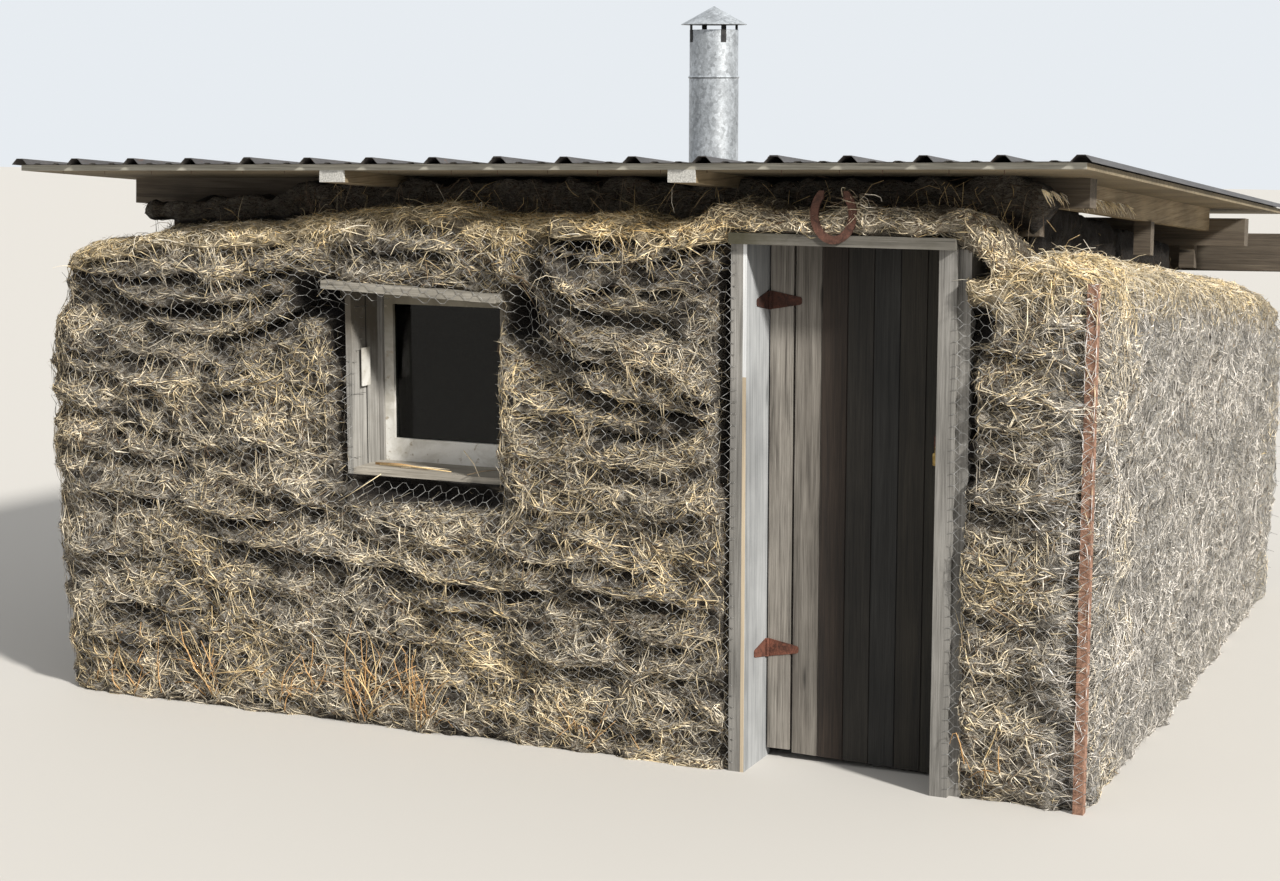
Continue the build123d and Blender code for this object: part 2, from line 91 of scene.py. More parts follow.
view = {
    "place": (3.3505, -8.3721, 2.1645), "down": 8.73, "left": 23.73, "lens": 65.89, "sensor": 36, "far": 200,
    "sunFrom": (0.775, -0.375, 0.51), "sunPower": 5.0, "sunSpread": 5, "sunColour": (1.0, 0.97, 0.91),
    "skyPower": 0.52, "skyColour": (0.98, 0.98, 0.97), "backColour": (0.80, 0.84, 0.88),
    "floorColour": (0.62, 0.60, 0.57), "floorHalf": 40,
}

cameraData = bpy.data.cameras.new("camera")
cameraData.lens = view["lens"]
cameraData.sensor_width = view["sensor"]
cameraData.sensor_fit = "HORIZONTAL"
cameraData.clip_end = view["far"]
camera = bpy.data.objects.new("camera", cameraData)
camera.location = view["place"]
camera.rotation_euler = (math.radians(90 - view["down"]), 0, math.radians(view["left"]))
sceneNow.collection.objects.link(camera)
sceneNow.camera = camera
sceneNow.view_settings.view_transform = "Standard"

sunData = bpy.data.lights.new("sun", "SUN")
sunData.energy = view["sunPower"]
sunData.angle = math.radians(view["sunSpread"])
sunData.color = view["sunColour"]
sun = bpy.data.objects.new("sun", sunData)
sun.rotation_euler = Vector(view["sunFrom"]).to_track_quat("Z", "Y").to_euler()
sceneNow.collection.objects.link(sun)

world = bpy.data.worlds.new("sky")
sceneNow.world = world
world.use_nodes = True
skyTree = world.node_tree
skyTree.nodes.clear()
skyOut, skyMix, skyLight, skyShown, skyRays, skyFirst, skySecond = (
    skyTree.nodes.new("ShaderNode" + kind)
    for kind in ("OutputWorld", "MixShader", "Background", "Background", "LightPath", "Math", "Math"))
skyFirst.operation = "MAXIMUM"
skySecond.operation = "MAXIMUM"
skyLight.inputs["Color"].default_value = (*view["skyColour"], 1)
skyLight.inputs["Strength"].default_value = view["skyPower"]
skyShown.inputs["Color"].default_value = (*view["backColour"], 1)
for source, target in (
        (skyRays.outputs["Is Camera Ray"], skyFirst.inputs[0]),
        (skyRays.outputs["Is Glossy Ray"], skyFirst.inputs[1]),
        (skyFirst.outputs[0], skySecond.inputs[0]),
        (skyRays.outputs["Is Transmission Ray"], skySecond.inputs[1]),
        (skySecond.outputs[0], skyMix.inputs[0]),
        (skyLight.outputs[0], skyMix.inputs[1]),
        (skyShown.outputs[0], skyMix.inputs[2]),
        (skyMix.outputs[0], skyOut.inputs["Surface"])):
    skyTree.links.new(source, target)
print("camera and light ready")


# Material helper: one object holds the node tree, and each call adds a node

class Finish:
    def __init__(self, name, roughness=0.85, metallic=0.0):
        self.material = bpy.data.materials.new(name)
        self.material.use_nodes = True
        self.tree = self.material.node_tree
        self.shader = self.tree.nodes["Principled BSDF"]
        self.shader.inputs["Roughness"].default_value = roughness
        self.shader.inputs["Metallic"].default_value = metallic
        self.coords = self.tree.nodes.new("ShaderNodeTexCoord").outputs["Object"]

    def plug(self, socket, value):
        if isinstance(value, bpy.types.NodeSocket):
            self.tree.links.new(value, socket)
        elif isinstance(value, (tuple, list)) and len(value) == 3 and socket.type == "RGBA":
            socket.default_value = (*value, 1)
        else:
            socket.default_value = value

    def stretch(self, scale, turn=(0, 0, 0)):
        node = self.tree.nodes.new("ShaderNodeMapping")
        node.inputs["Scale"].default_value = scale
        node.inputs["Rotation"].default_value = [math.radians(a) for a in turn]
        self.plug(node.inputs["Vector"], self.coords)
        return node.outputs["Vector"]

    def grain(self, scale, detail=4.0, rough=0.55, twist=0.0, vector=None):
        node = self.tree.nodes.new("ShaderNodeTexNoise")
        node.inputs["Scale"].default_value = scale
        node.inputs["Detail"].default_value = detail
        node.inputs["Roughness"].default_value = rough
        node.inputs["Distortion"].default_value = twist
        self.plug(node.inputs["Vector"], self.coords if vector is None else vector)
        return node.outputs["Fac"]

    def cells(self, scale, vector=None, output="Color"):
        node = self.tree.nodes.new("ShaderNodeTexVoronoi")
        node.inputs["Scale"].default_value = scale
        self.plug(node.inputs["Vector"], self.coords if vector is None else vector)
        return node.outputs[output]

    def ramp(self, value, stops):
        node = self.tree.nodes.new("ShaderNodeValToRGB")
        while len(node.color_ramp.elements) < len(stops):
            node.color_ramp.elements.new(0.5)
        for element, (place, colour) in zip(node.color_ramp.elements, stops):
            element.position = place
            element.color = (*colour, 1) if isinstance(colour, tuple) else (colour, colour, colour, 1)
        self.plug(node.inputs["Fac"], value)
        return node.outputs["Color"]

    def sum(self, operation, a, b=0.5, c=None, clamp=False):
        node = self.tree.nodes.new("ShaderNodeMath")
        node.operation = operation
        node.use_clamp = clamp
        self.plug(node.inputs[0], a)
        self.plug(node.inputs[1], b)
        if c is not None:
            self.plug(node.inputs[2], c)
        return node.outputs[0]

    def mix(self, share, a, b, blend="MIX"):
        node = self.tree.nodes.new("ShaderNodeMix")
        node.data_type = "RGBA"
        node.blend_type = blend
        self.plug(node.inputs["Factor"], share)
        self.plug(node.inputs[6], a)
        self.plug(node.inputs[7], b)
        return node.outputs[2]

    def times(self, a, b):
        return self.mix(1.0, a, b, "MULTIPLY")

    def attribute(self, name, output="Fac"):
        node = self.tree.nodes.new("ShaderNodeAttribute")
        node.attribute_name = name
        return node.outputs[output]

    def axis(self, which, source=None):
        node = self.tree.nodes.new("ShaderNodeSeparateXYZ")
        self.plug(node.inputs[0], self.coords if source is None else source)
        return node.outputs[which]

    # How far a place lies along an axis, from 0 at the start to 1 at the end of the reach
    def along(self, which, start, reach):
        return self.sum("DIVIDE", self.sum("SUBTRACT", self.axis(which), start), reach, clamp=True)

    # Coordinates drawn out along a board
    def lengthwise(self, which, small, large):
        return self.stretch([small if axis == which else large for axis in "XYZ"])

    def facing(self, which):
        node = self.tree.nodes.new("ShaderNodeNewGeometry")
        return self.axis(which, node.outputs["Normal"])

    def paint(self, colour):
        self.plug(self.shader.inputs["Base Color"], colour)

    def relief(self, height, distance=0.004, strength=0.8):
        node = self.tree.nodes.new("ShaderNodeBump")
        node.inputs["Strength"].default_value = strength
        node.inputs["Distance"].default_value = distance
        self.plug(node.inputs["Height"], height)
        self.plug(self.shader.inputs["Normal"], node.outputs["Normal"])


def sodFinish():
    f = Finish("sodMat", roughness=0.95)
    lines = []
    for scale, turn in ((30, 18), (38, -25), (52, 70)):
        drawn = f.stretch((0.45, 0.45, 1.25), (0, turn, 0))
        field = f.grain(scale, detail=2.5, rough=0.6, twist=1.6, vector=drawn)
        lines.append(f.ramp(field, [(0.445, 0.0), (0.485, 0.75), (0.50, 1.0), (0.515, 0.7), (0.56, 0.0)]))
    fibre = f.sum("MAXIMUM", f.sum("MAXIMUM", lines[0], lines[1]), lines[2])
    matted = f.grain(95, detail=5, rough=0.75, twist=1.5, vector=f.stretch((1, 1, 0.6)))
    body = f.ramp(matted, [(0.38, (0.026, 0.016, 0.009)), (0.50, (0.095, 0.064, 0.038)),
                           (0.62, (0.42, 0.32, 0.21))])
    endBody = f.ramp(matted, [(0.32, (0.14, 0.13, 0.12)), (0.46, (0.50, 0.48, 0.455)),
                              (0.60, (0.80, 0.78, 0.755))])
    body = f.mix(f.along("X", 1.66, 0.14), body, endBody)
    pale = f.mix(f.grain(4.2, detail=3), (0.84, 0.74, 0.57), (0.76, 0.71, 0.63))
    colour = f.mix(f.sum("MULTIPLY", fibre, 0.9), body, pale)
    top = f.ramp(matted, [(0.34, (0.26, 0.185, 0.095)), (0.48, (0.70, 0.54, 0.31)), (0.60, (0.92, 0.78, 0.52))])
    colour = f.mix(f.sum("MULTIPLY", f.attribute("straw"), 0.7), colour, top)
    # The dark attribute paints shade into the colour: joints, creases, gaps, hollows, inner faces and the top
    # under the roof, partly dark soil
    f.paint(f.mix(f.attribute("dark"), colour, (0.017, 0.011, 0.007)))
    f.relief(f.sum("ADD", fibre, matted), distance=0.012, strength=1.0)
    return f.material


def grassFinish():
    f = Finish("grassMat", roughness=0.8)
    fleck = f.ramp(f.grain(160, detail=2), [(0.35, 0.85), (0.65, 1.10)])
    f.paint(f.times(f.attribute("tint", "Color"), fleck))
    return f.material


def wireFinish():
    f = Finish("wireMat", roughness=0.5, metallic=0.4)
    f.paint(f.ramp(f.grain(60, detail=3), [
        (0.35, (0.14, 0.13, 0.12)), (0.5, (0.33, 0.325, 0.315)), (0.7, (0.52, 0.52, 0.51))]))
    return f.material


# Boards: the axis they run along and three tones; then board by board tones with painted light and shade, a
# darker band of moss and of painted shade, sawn ends, a painted front edge and a groove line of painted shade
# where they are wanted
def woodFinish(name, along, dark, light, worn, boardLightAndShade=None, stainAndShade=None, ends=None, edge=None, shadedSeam=None):
    f = Finish(name)
    broad = f.grain(1.0, detail=5, rough=0.62, twist=0.7, vector=f.lengthwise(along, 1.6, 42))
    hair = f.grain(1.0, detail=4, rough=0.7, vector=f.lengthwise(along, 5, 210))
    both = f.sum("MULTIPLY_ADD", hair, 0.5, f.sum("MULTIPLY", broad, 0.5))
    colour = f.ramp(both, [(0.33, dark), (0.5, light), (0.68, worn)])
    colour = f.times(colour, f.ramp(f.grain(2.6, detail=3), [(0.35, 0.72), (0.62, 1.08)]))
    knots = f.cells(5.0, f.lengthwise(along, 0.35, 2.4), output="Distance")
    colour = f.times(colour, f.ramp(knots, [(0.045, 0.25), (0.10, 1.0)]))
    # Board by board tones: painted light on sunlit ones and painted shade on shaded ones, besides their own tones
    if boardLightAndShade:
        start, width, tones = boardLightAndShade
        place = f.along("X", start, width * len(tones))
        boardLightShade = f.ramp(place, [(i / len(tones), tone) for i, tone in enumerate(tones)])
        boardLightShade.node.color_ramp.interpolation = "CONSTANT"
        colour = f.times(colour, boardLightShade)
    # A darker band: moss on the header, painted shade on the upper part of the window's boards
    if stainAndShade:
        which, low, high, tone = stainAndShade
        uneven = f.sum("SUBTRACT", f.along(which, low, high - low), 0.7)
        share = f.sum("MULTIPLY_ADD", f.grain(9, detail=5, rough=0.7), 1.4, uneven, clamp=True)
        colour = f.mix(share, tone, colour)
    if ends:
        limit, tone = ends
        sawn = f.times(tone, f.ramp(hair, [(0.35, 0.55), (0.65, 1.1)]))
        colour = f.mix(f.sum("LESS_THAN", f.axis("Y"), limit), colour, sawn)
    if edge:
        level, painted, bare = edge
        tone = f.mix(f.sum("GREATER_THAN", f.axis("Z"), level), bare, painted)
        tone = f.times(tone, f.ramp(broad, [(0.3, 0.75), (0.6, 1.05)]))
        colour = f.mix(f.sum("LESS_THAN", f.facing("Y"), -0.5), colour, tone)
    # A dark groove line of painted shade
    if shadedSeam:
        place, reach = shadedSeam
        away = f.sum("ABSOLUTE", f.sum("SUBTRACT", f.axis("Y"), place))
        colour = f.mix(f.sum("LESS_THAN", away, reach), colour, (0.012, 0.010, 0.008))
    f.paint(colour)
    f.relief(both, distance=0.003, strength=0.9)
    return f.material


def whitePaint():
    f = Finish("whitePaintMat", roughness=0.55)
    chips = f.ramp(f.grain(26, detail=6, rough=0.7), [(0.60, 0.0), (0.66, 1.0)])
    dirt = f.ramp(f.grain(7, detail=5, rough=0.65, twist=0.6), [
        (0.34, (0.48, 0.46, 0.41)), (0.55, (0.74, 0.73, 0.70)), (0.75, (0.80, 0.80, 0.78))])
    # The upper part is darker and browner: painted shade of the head board on the sash
    paintedShade = f.mix(f.along("Z", 1.10, 0.30), (1.08, 1.08, 1.08), (0.33, 0.30, 0.235))
    f.paint(f.mix(chips, f.times(dirt, paintedShade), (0.40, 0.35, 0.28)))
    f.relief(f.grain(90, detail=4), distance=0.001, strength=0.5)
    return f.material


def glassFinish():
    f = Finish("windowGlassMat", roughness=0.04)
    f.shader.inputs["Base Color"].default_value = (0.13, 0.14, 0.125, 1)
    f.shader.inputs["Transmission Weight"].default_value = 1.0
    f.shader.inputs["IOR"].default_value = 1.3
    f.shader.inputs["Specular IOR Level"].default_value = 0.3
    f.relief(f.grain(3, detail=1), distance=0.004, strength=0.12)
    return f.material


def roofFinish():
    f = Finish("roofSteelMat", roughness=0.5, metallic=0.35)
    streaks = f.grain(9, detail=6, rough=0.62, vector=f.stretch((3.2, 0.45, 1)))
    specks = f.ramp(f.grain(120, detail=3), [(0.35, 0.8), (0.65, 1.15)])
    base = f.ramp(streaks, [(0.3, (0.052, 0.047, 0.046)), (0.52, (0.075, 0.069, 0.067)),
                            (0.72, (0.105, 0.098, 0.094))])
    rust = f.ramp(f.grain(14, detail=7, rough=0.7, twist=0.5), [(0.62, 0.0), (0.72, 0.75)])
    f.paint(f.times(f.mix(rust, base, (0.17, 0.075, 0.035)), specks))
    f.relief(streaks, distance=0.0015, strength=0.4)
    return f.material


def zincFinish():
    f = Finish("galvanisedMat", roughness=0.42, metallic=0.55)
    spangle = f.ramp(f.cells(85, f.stretch((1, 1, 0.8))), [(0.1, 0.62), (0.5, 0.86), (0.95, 1.05)])
    fine = f.ramp(f.cells(210), [(0.1, 0.82), (0.9, 1.08)])
    stainAndShade = f.ramp(f.grain(10, detail=6, rough=0.62, vector=f.stretch((1, 1, 0.4))), [
        (0.3, (0.36, 0.38, 0.40)), (0.5, (0.56, 0.59, 0.62)), (0.72, (0.70, 0.73, 0.76))])
    f.paint(f.times(f.times(stainAndShade, spangle), fine))
    f.relief(spangle, distance=0.0006, strength=0.3)
    return f.material


def sootFinish():
    f = Finish("sootMat", roughness=0.8, metallic=0.2)
    f.paint(f.ramp(f.grain(40, detail=5), [(0.35, (0.012, 0.012, 0.013)), (0.7, (0.06, 0.058, 0.055))]))
    f.relief(f.grain(160, detail=3), distance=0.001, strength=0.5)
    return f.material


def rustFinish(name, deep, bright, paintedShadeFrom=None):
    f = Finish(name, roughness=0.86, metallic=0.15)
    scale = f.grain(38, detail=7, rough=0.7, twist=0.6)
    pits = f.grain(210, detail=4, rough=0.65)
    colour = f.ramp(scale, [(0.32, deep), (0.5, bright), (0.68, tuple(1.5 * c for c in bright))])
    colour = f.times(colour, f.ramp(pits, [(0.32, 0.55), (0.62, 1.12)]))
    # Darker above a height: painted shade on the upper hinge
    if paintedShadeFrom:
        above = f.sum("GREATER_THAN", f.axis("Z"), paintedShadeFrom)
        colour = f.mix(above, colour, f.times(colour, (0.42, 0.40, 0.40)))
    f.paint(colour)
    f.relief(f.sum("ADD", scale, pits), distance=0.0016, strength=0.9)
    return f.material


def brassFinish():
    f = Finish("brassMat", roughness=0.45, metallic=0.7)
    f.paint(f.ramp(f.grain(70, detail=5), [
        (0.35, (0.10, 0.065, 0.02)), (0.52, (0.30, 0.20, 0.06)), (0.7, (0.42, 0.31, 0.12))]))
    f.relief(f.grain(220, detail=3), distance=0.0005, strength=0.4)
    return f.material


sodMat = sodFinish()
grassMat = grassFinish()
wireMat = wireFinish()
greyUpright = woodFinish(
    "greyUprightMat", "Z", (0.086, 0.081, 0.073), (0.238, 0.228, 0.211), (0.370, 0.356, 0.337))
greyAcross = woodFinish(
    "greyAcrossMat", "X", (0.092, 0.084, 0.071), (0.264, 0.244, 0.208), (0.383, 0.356, 0.310))
headerWood = woodFinish(
    "headerWoodMat", "X", (0.046, 0.043, 0.036), (0.132, 0.122, 0.104), (0.222, 0.208, 0.182),
    stainAndShade=("X", 0.70, 0.98, (0.055, 0.05, 0.028)))
# The first two door boards are lit with painted light and the other five darkened with painted shade, besides
# their own tones
doorWood = woodFinish(
    "doorWoodMat", "Z", (0.033, 0.029, 0.025), (0.125, 0.115, 0.102), (0.224, 0.211, 0.191),
    boardLightAndShade=(0.770, 0.0853, [
        (1.86, 1.84, 1.82), (1.25, 1.22, 1.19), (0.21, 0.155, 0.125), (0.165, 0.155, 0.142),
        (0.155, 0.16, 0.165), (0.16, 0.145, 0.12), (0.15, 0.14, 0.112)]))
paleBoard = woodFinish(
    "paleBoardMat", "Z", (0.19, 0.198, 0.206), (0.332, 0.341, 0.348), (0.45, 0.457, 0.465),
    edge=(1.26, (0.78, 0.79, 0.80), (0.56, 0.46, 0.33)))
# A lighter copy of the grey boards: painted light on the sunlit sill
sillLitWood = woodFinish(
    "sillLitWoodMat", "X", (0.17, 0.15, 0.12), (0.42, 0.385, 0.33), (0.56, 0.52, 0.45))
# Window boards: painted shade on their upper part, under the head board
windowWood = woodFinish(
    "windowWoodMat", "Z", (0.11, 0.105, 0.096), (0.29, 0.28, 0.26), (0.42, 0.405, 0.38),
    # The groove line by the stop is a dark line of painted shade
    shadedSeam=(-1.548, 0.0035), stainAndShade=("Z", 1.37, 1.17, (0.10, 0.086, 0.066)))
roofTimber = woodFinish(
    "roofTimberMat", "X", (0.046, 0.036, 0.026), (0.112, 0.089, 0.066), (0.178, 0.149, 0.112))
rafterWood = woodFinish(
    "rafterWoodMat", "Y", (0.132, 0.092, 0.046), (0.277, 0.211, 0.125), (0.383, 0.310, 0.205),
    ends=(-1.822, (0.55, 0.54, 0.51)))
deckWood = woodFinish(
    "deckWoodMat", "X", (0.086, 0.066, 0.040), (0.198, 0.158, 0.099), (0.290, 0.244, 0.172),
    ends=(-1.822, (0.42, 0.40, 0.34)))
whiteMat = whitePaint()
glassMat = glassFinish()
roofMat = roofFinish()
zincMat = zincFinish()
sootMat = sootFinish()
rustMat = rustFinish("rustMat", (0.045, 0.02, 0.014), (0.115, 0.052, 0.036))
stakeRust = rustFinish("stakeRustMat", (0.16, 0.075, 0.045), (0.31, 0.175, 0.12))
# The upper hinge is darkened with painted shade
hingeRust = rustFinish("hingeRustMat", (0.05, 0.020, 0.013), (0.155, 0.058, 0.036), paintedShadeFrom=0.9)
brassMat = brassFinish()
floorFinish = Finish("floorMat", roughness=0.9)
floorFinish.paint(view["floorColour"])
print("finishes ready")


# Sod walls

windowLow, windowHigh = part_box("window_jambs")
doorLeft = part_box("door_left_jamb")[0].x
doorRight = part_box("door_side_board")[1].x

wall = {
    "front": -1.65, "back": 1.75, "halfLength": 1.83, "thickness": 0.42, "corner": 0.11,
    "stack": 1.82, "topFront": 1.706, "topPitch": 6.28, "crossFall": 0.93,
    # Where the front's own upper edge has faded into the roof's slope, and where it holds fully
    "slopeFrom": -0.9, "lineFrom": -1.45,
    "bulgeLeft": 0.11, "bulgeRight": 0.05, "bulgeFront": 0.045, "bulgeBack": 0.05,
    "footShare": 0.55, "headShare": 0.28,
    "crown": 0.11, "frontCrown": 0.055, "leftCrown": 0.30, "sideCrown": 0.13, "crownRows": 11,
    # The left side's shoulder ends behind the front corner
    "shoulderTo": -1.45, "shoulderGone": -0.95, "leftLean": 0.05, "leanFrom": 1.25, "leanTo": 1.42,
    "brow": 0.03, "browFrom": 1.40, "browTo": 1.56,
    "endDrop": 0.09, "endFrom": 1.3, "endTo": 1.82,
    "headTop": 1.514, "headTilt": 2.2,
    # The front is packed up to the plate between two places
    "packed": 0.05, "packedAt": -1.29, "packedWide": 0.11, "packedFrom": -1.68, "packedTo": 1.45,
    "uneven": [(0.014, 0, 2.3, 11), (0.012, 0, 7.1, 13)],
    # The wall's upper edge along the front, as x and height
    "topLine": [(-1.83, 1.55), (-1.70, 1.585), (-1.55, 1.63), (-1.30, 1.665), (-1.03, 1.685), (-0.80, 1.705),
                (-0.55, 1.735), (-0.34, 1.75), (-0.20, 1.74), (-0.05, 1.715), (0.16, 1.715), (0.33, 1.745),
                (0.46, 1.72), (0.60, 1.725), (0.71, 1.75), (1.46, 1.59), (1.53, 1.59), (1.60, 1.63),
                (1.70, 1.65), (1.80, 1.635), (1.83, 1.63)],
}
sodRelief = {
    "course": 0.128, "drift": 0.05, "joint": 0.050, "bow": 0.42, "shelf": 0.016,
    "frontShare": 0.30, "rightShare": 0.35, "chunk": 0.018, "chunkWide": 0.30,
    "lumps": [(0.026, 1.6, 6.2, 23), (0.015, 1.5, 15, 29), (0.008, 1.4, 34, 31)],
    "top": [(0.022, 0, 5.5, 43), (0.014, 0, 14, 47)], "crown": [(0.018, 1, 13, 47)],
    # Creases: shelter below the step, the nose above it, and how they stray, fade and darken with painted shade
    # below the step
    "under": 0.026, "lip": 0.006, "nose": 0.50, "noseAt": 0.036, "noseWide": 0.036, "drop": 1.25,
    "stray": 0.016, "strays": [(1, 1, 9, 81), (0.5, 1, 21, 83)], "tail": 0.035, "fullDark": 0.040,
    "calmFrom": 1.3, "calm": 0.45, "sunkDark": 0.06,
    # Gaps between the sods' fibres, sunk and darkened with painted shade, fewer of them from two places on
    # towards the right end
    "gap": 0.012, "gapFrom": 0.08, "gapTo": 0.30, "gapFewer": (1.45, 0.65), "gapFewest": (1.78, 0.3),
    "gaps": [(0.75, 1.7, 15, 101), (0.40, 1.3, 36, 103), (0.35, 1.5, 5, 107)],
    # How far the cut sides keep the relief, the painted shade on the top's inner half under the roof, and how far
    # the straw of the top reaches down
    "cutFade": 0.05, "topDark": 0.45, "strawBand": 0.075, "endBand": 0.13, "endBandFrom": 1.4,
}

# Where one sod of the front hangs over the next: depth of the step, then points as x and height
creases = [
    (0.055, [(-1.64, 1.545), (-1.50, 1.565), (-1.42, 1.585)]),
    (0.030, [(-1.40, 1.60), (-1.20, 1.595), (-1.00, 1.605), (-0.90, 1.62)]),
    (0.045, [(-1.72, 1.505), (-1.50, 1.495), (-1.30, 1.50), (-1.15, 1.485), (-1.0, 1.50), (-0.88, 1.54)]),
    (0.065, [(-1.64, 1.455), (-1.50, 1.42), (-1.40, 1.395), (-1.20, 1.40), (-1.08, 1.415), (-0.95, 1.45)]),
    (0.065, [(-1.42, 1.33), (-1.30, 1.305), (-1.20, 1.30), (-1.08, 1.31), (-0.97, 1.35), (-0.86, 1.405)]),
    (0.030, [(-1.82, 1.22), (-1.60, 1.205), (-1.40, 1.215), (-1.20, 1.20)]),
    (0.040, [(-1.80, 1.135), (-1.60, 1.13), (-1.45, 1.11), (-1.25, 1.09), (-1.10, 1.11)]),
    (0.035, [(-1.80, 1.045), (-1.60, 1.01), (-1.45, 0.96), (-1.30, 0.93), (-1.20, 0.915), (-0.95, 0.925)]),
    (0.028, [(-1.80, 0.88), (-1.60, 0.865), (-1.35, 0.855)]),
    (0.032, [(-1.82, 0.725), (-1.50, 0.725), (-1.30, 0.70), (-1.12, 0.69)]),
    (0.060, [(-1.06, 0.775), (-0.95, 0.765), (-0.88, 0.75), (-0.79, 0.735)]),
    (0.045, [(-1.28, 0.675), (-1.10, 0.665), (-0.96, 0.68)]),
    (0.038, [(-1.20, 0.585), (-1.00, 0.575), (-0.80, 0.585)]),
    (0.028, [(-1.74, 0.50), (-1.50, 0.505), (-1.30, 0.51)]),
    (0.030, [(-1.20, 0.425), (-1.02, 0.41), (-0.86, 0.42)]),
    (0.035, [(-1.62, 0.335), (-1.40, 0.32), (-1.24, 0.33)]),
    (0.032, [(-1.04, 0.315), (-0.84, 0.31)]),
    (0.028, [(-1.76, 0.20), (-1.50, 0.19), (-1.20, 0.205)]),
    (0.055, [(-0.80, 0.565), (-0.50, 0.545), (-0.30, 0.52), (-0.10, 0.50), (0.02, 0.515)]),
    (0.042, [(-0.38, 0.43), (-0.20, 0.42), (-0.05, 0.405)]),
    (0.030, [(-0.70, 0.30), (-0.50, 0.29), (-0.24, 0.30)]),
    (0.040, [(-0.66, 1.625), (-0.50, 1.605), (-0.30, 1.61), (-0.16, 1.62)]),
    (0.070, [(-0.10, 1.56), (-0.04, 1.46), (0.03, 1.375), (0.12, 1.31), (0.22, 1.275)]),
    (0.070, [(0.07, 1.60), (0.13, 1.51), (0.20, 1.445), (0.32, 1.41), (0.45, 1.395), (0.56, 1.37)]),
    (0.040, [(0.0, 1.50), (0.10, 1.39), (0.20, 1.34), (0.32, 1.315), (0.45, 1.31)]),
    (0.050, [(0.22, 1.285), (0.40, 1.275), (0.52, 1.235), (0.62, 1.185)]),
    (0.050, [(0.18, 1.205), (0.32, 1.165), (0.45, 1.14), (0.60, 1.125)]),
    (0.032, [(0.0, 1.10), (0.15, 1.06), (0.30, 1.055), (0.50, 1.05)]),
    (0.065, [(0.12, 1.675), (0.20, 1.66), (0.30, 1.675), (0.40, 1.66)]),
    (0.034, [(0.12, 1.62), (0.30, 1.585), (0.45, 1.555)]),
    (0.055, [(0.22, 1.50), (0.30, 1.52), (0.42, 1.505), (0.50, 1.52), (0.64, 1.53)]),
    (0.050, [(0.40, 1.60), (0.48, 1.615), (0.55, 1.64), (0.69, 1.665)]),
    (0.032, [(0.0, 0.96), (0.20, 0.95), (0.40, 0.94)]),
    (0.030, [(-0.05, 0.785), (0.10, 0.78), (0.30, 0.79), (0.55, 0.78)]),
    (0.030, [(-0.10, 0.63), (0.10, 0.61), (0.35, 0.605)]),
    (0.048, [(0.18, 0.535), (0.35, 0.52), (0.50, 0.505), (0.62, 0.50)]),
    (0.042, [(0.38, 0.395), (0.55, 0.375), (0.70, 0.40)]),
    (0.036, [(0.52, 0.285), (0.70, 0.275)]),
    (0.030, [(-0.05, 0.30), (0.15, 0.28), (0.32, 0.29)]),
    (0.055, [(1.46, 1.375), (1.58, 1.365), (1.72, 1.345)]),
    (0.042, [(1.48, 1.235), (1.62, 1.22), (1.76, 1.215)]),
    (0.036, [(1.50, 1.13), (1.66, 1.12), (1.76, 1.13)]),
    (0.048, [(1.46, 1.02), (1.58, 1.035), (1.74, 1.03)]),
    (0.052, [(1.47, 0.90), (1.58, 0.885), (1.72, 0.895)]),
    (0.042, [(1.50, 0.715), (1.60, 0.675), (1.74, 0.695)]),
    (0.034, [(1.45, 0.565), (1.60, 0.54), (1.74, 0.535)]),
    (0.034, [(1.46, 0.40), (1.60, 0.39), (1.72, 0.40)]),
    (0.030, [(1.47, 0.23), (1.62, 0.22)]),
]
# Hollows and mounds on the front, as x, z, half width, half height and depth (a mound's depth is negative);
# hollows also get painted shade
hollows = [
    (-0.785, 1.455, 0.085, 0.065, 0.20), (-0.715, 1.35, 0.035, 0.10, 0.16), (-0.695, 1.06, 0.016, 0.22, 0.06),
    (-0.38, 0.815, 0.29, 0.042, 0.12), (-0.01, 1.42, 0.065, 0.085, 0.10), (0.235, 1.65, 0.075, 0.024, 0.06),
    (0.36, 1.425, 0.15, 0.022, 0.05), (0.60, 1.56, 0.09, 0.035, 0.05), (0.697, 1.28, 0.030, 0.36, 0.14),
    (0.708, 0.55, 0.012, 0.52, 0.06), (1.495, 1.45, 0.045, 0.055, 0.10), (1.475, 1.15, 0.020, 0.24, 0.06),
    (1.60, 1.35, 0.05, 0.014, 0.025), (1.54, 0.90, 0.06, 0.016, 0.03), (1.66, 1.12, 0.05, 0.014, 0.02),
    (-1.30, 1.375, 0.13, 0.022, 0.05), (-0.375, 1.685, 0.04, 0.022, 0.05), (-0.02, 1.50, 0.03, 0.06, 0.05),
    (-0.03, 1.06, 0.05, 0.22, -0.030), (-0.38, 0.70, 0.26, 0.06, -0.030), (0.55, 1.19, 0.12, 0.03, -0.02),
]

half = wall["halfLength"]
corner = wall["corner"]
thick = wall["thickness"]
frontInner = wall["front"] + thick
backInner = wall["back"] - thick
runY = wall["back"] - wall["front"] - 2 * corner
runX = 2 * half - 2 * corner
arc = math.pi * corner / 2
around = 2 * (runX + runY) + 4 * arc
cornerSpots = [(-half + corner, wall["front"] + corner), (half - corner, wall["front"] + corner),
               (half - corner, wall["back"] - corner), (-half + corner, wall["back"] - corner)]
sideNormals = [(-1, 0), (0, -1), (1, 0), (0, 1)]


def alongLeft(y):
    return wall["back"] - corner - y


def alongFront(x):
    return runY + arc + x + half - corner


def alongRight(y):
    return runY + runX + 2 * arc + y - wall["front"] - corner


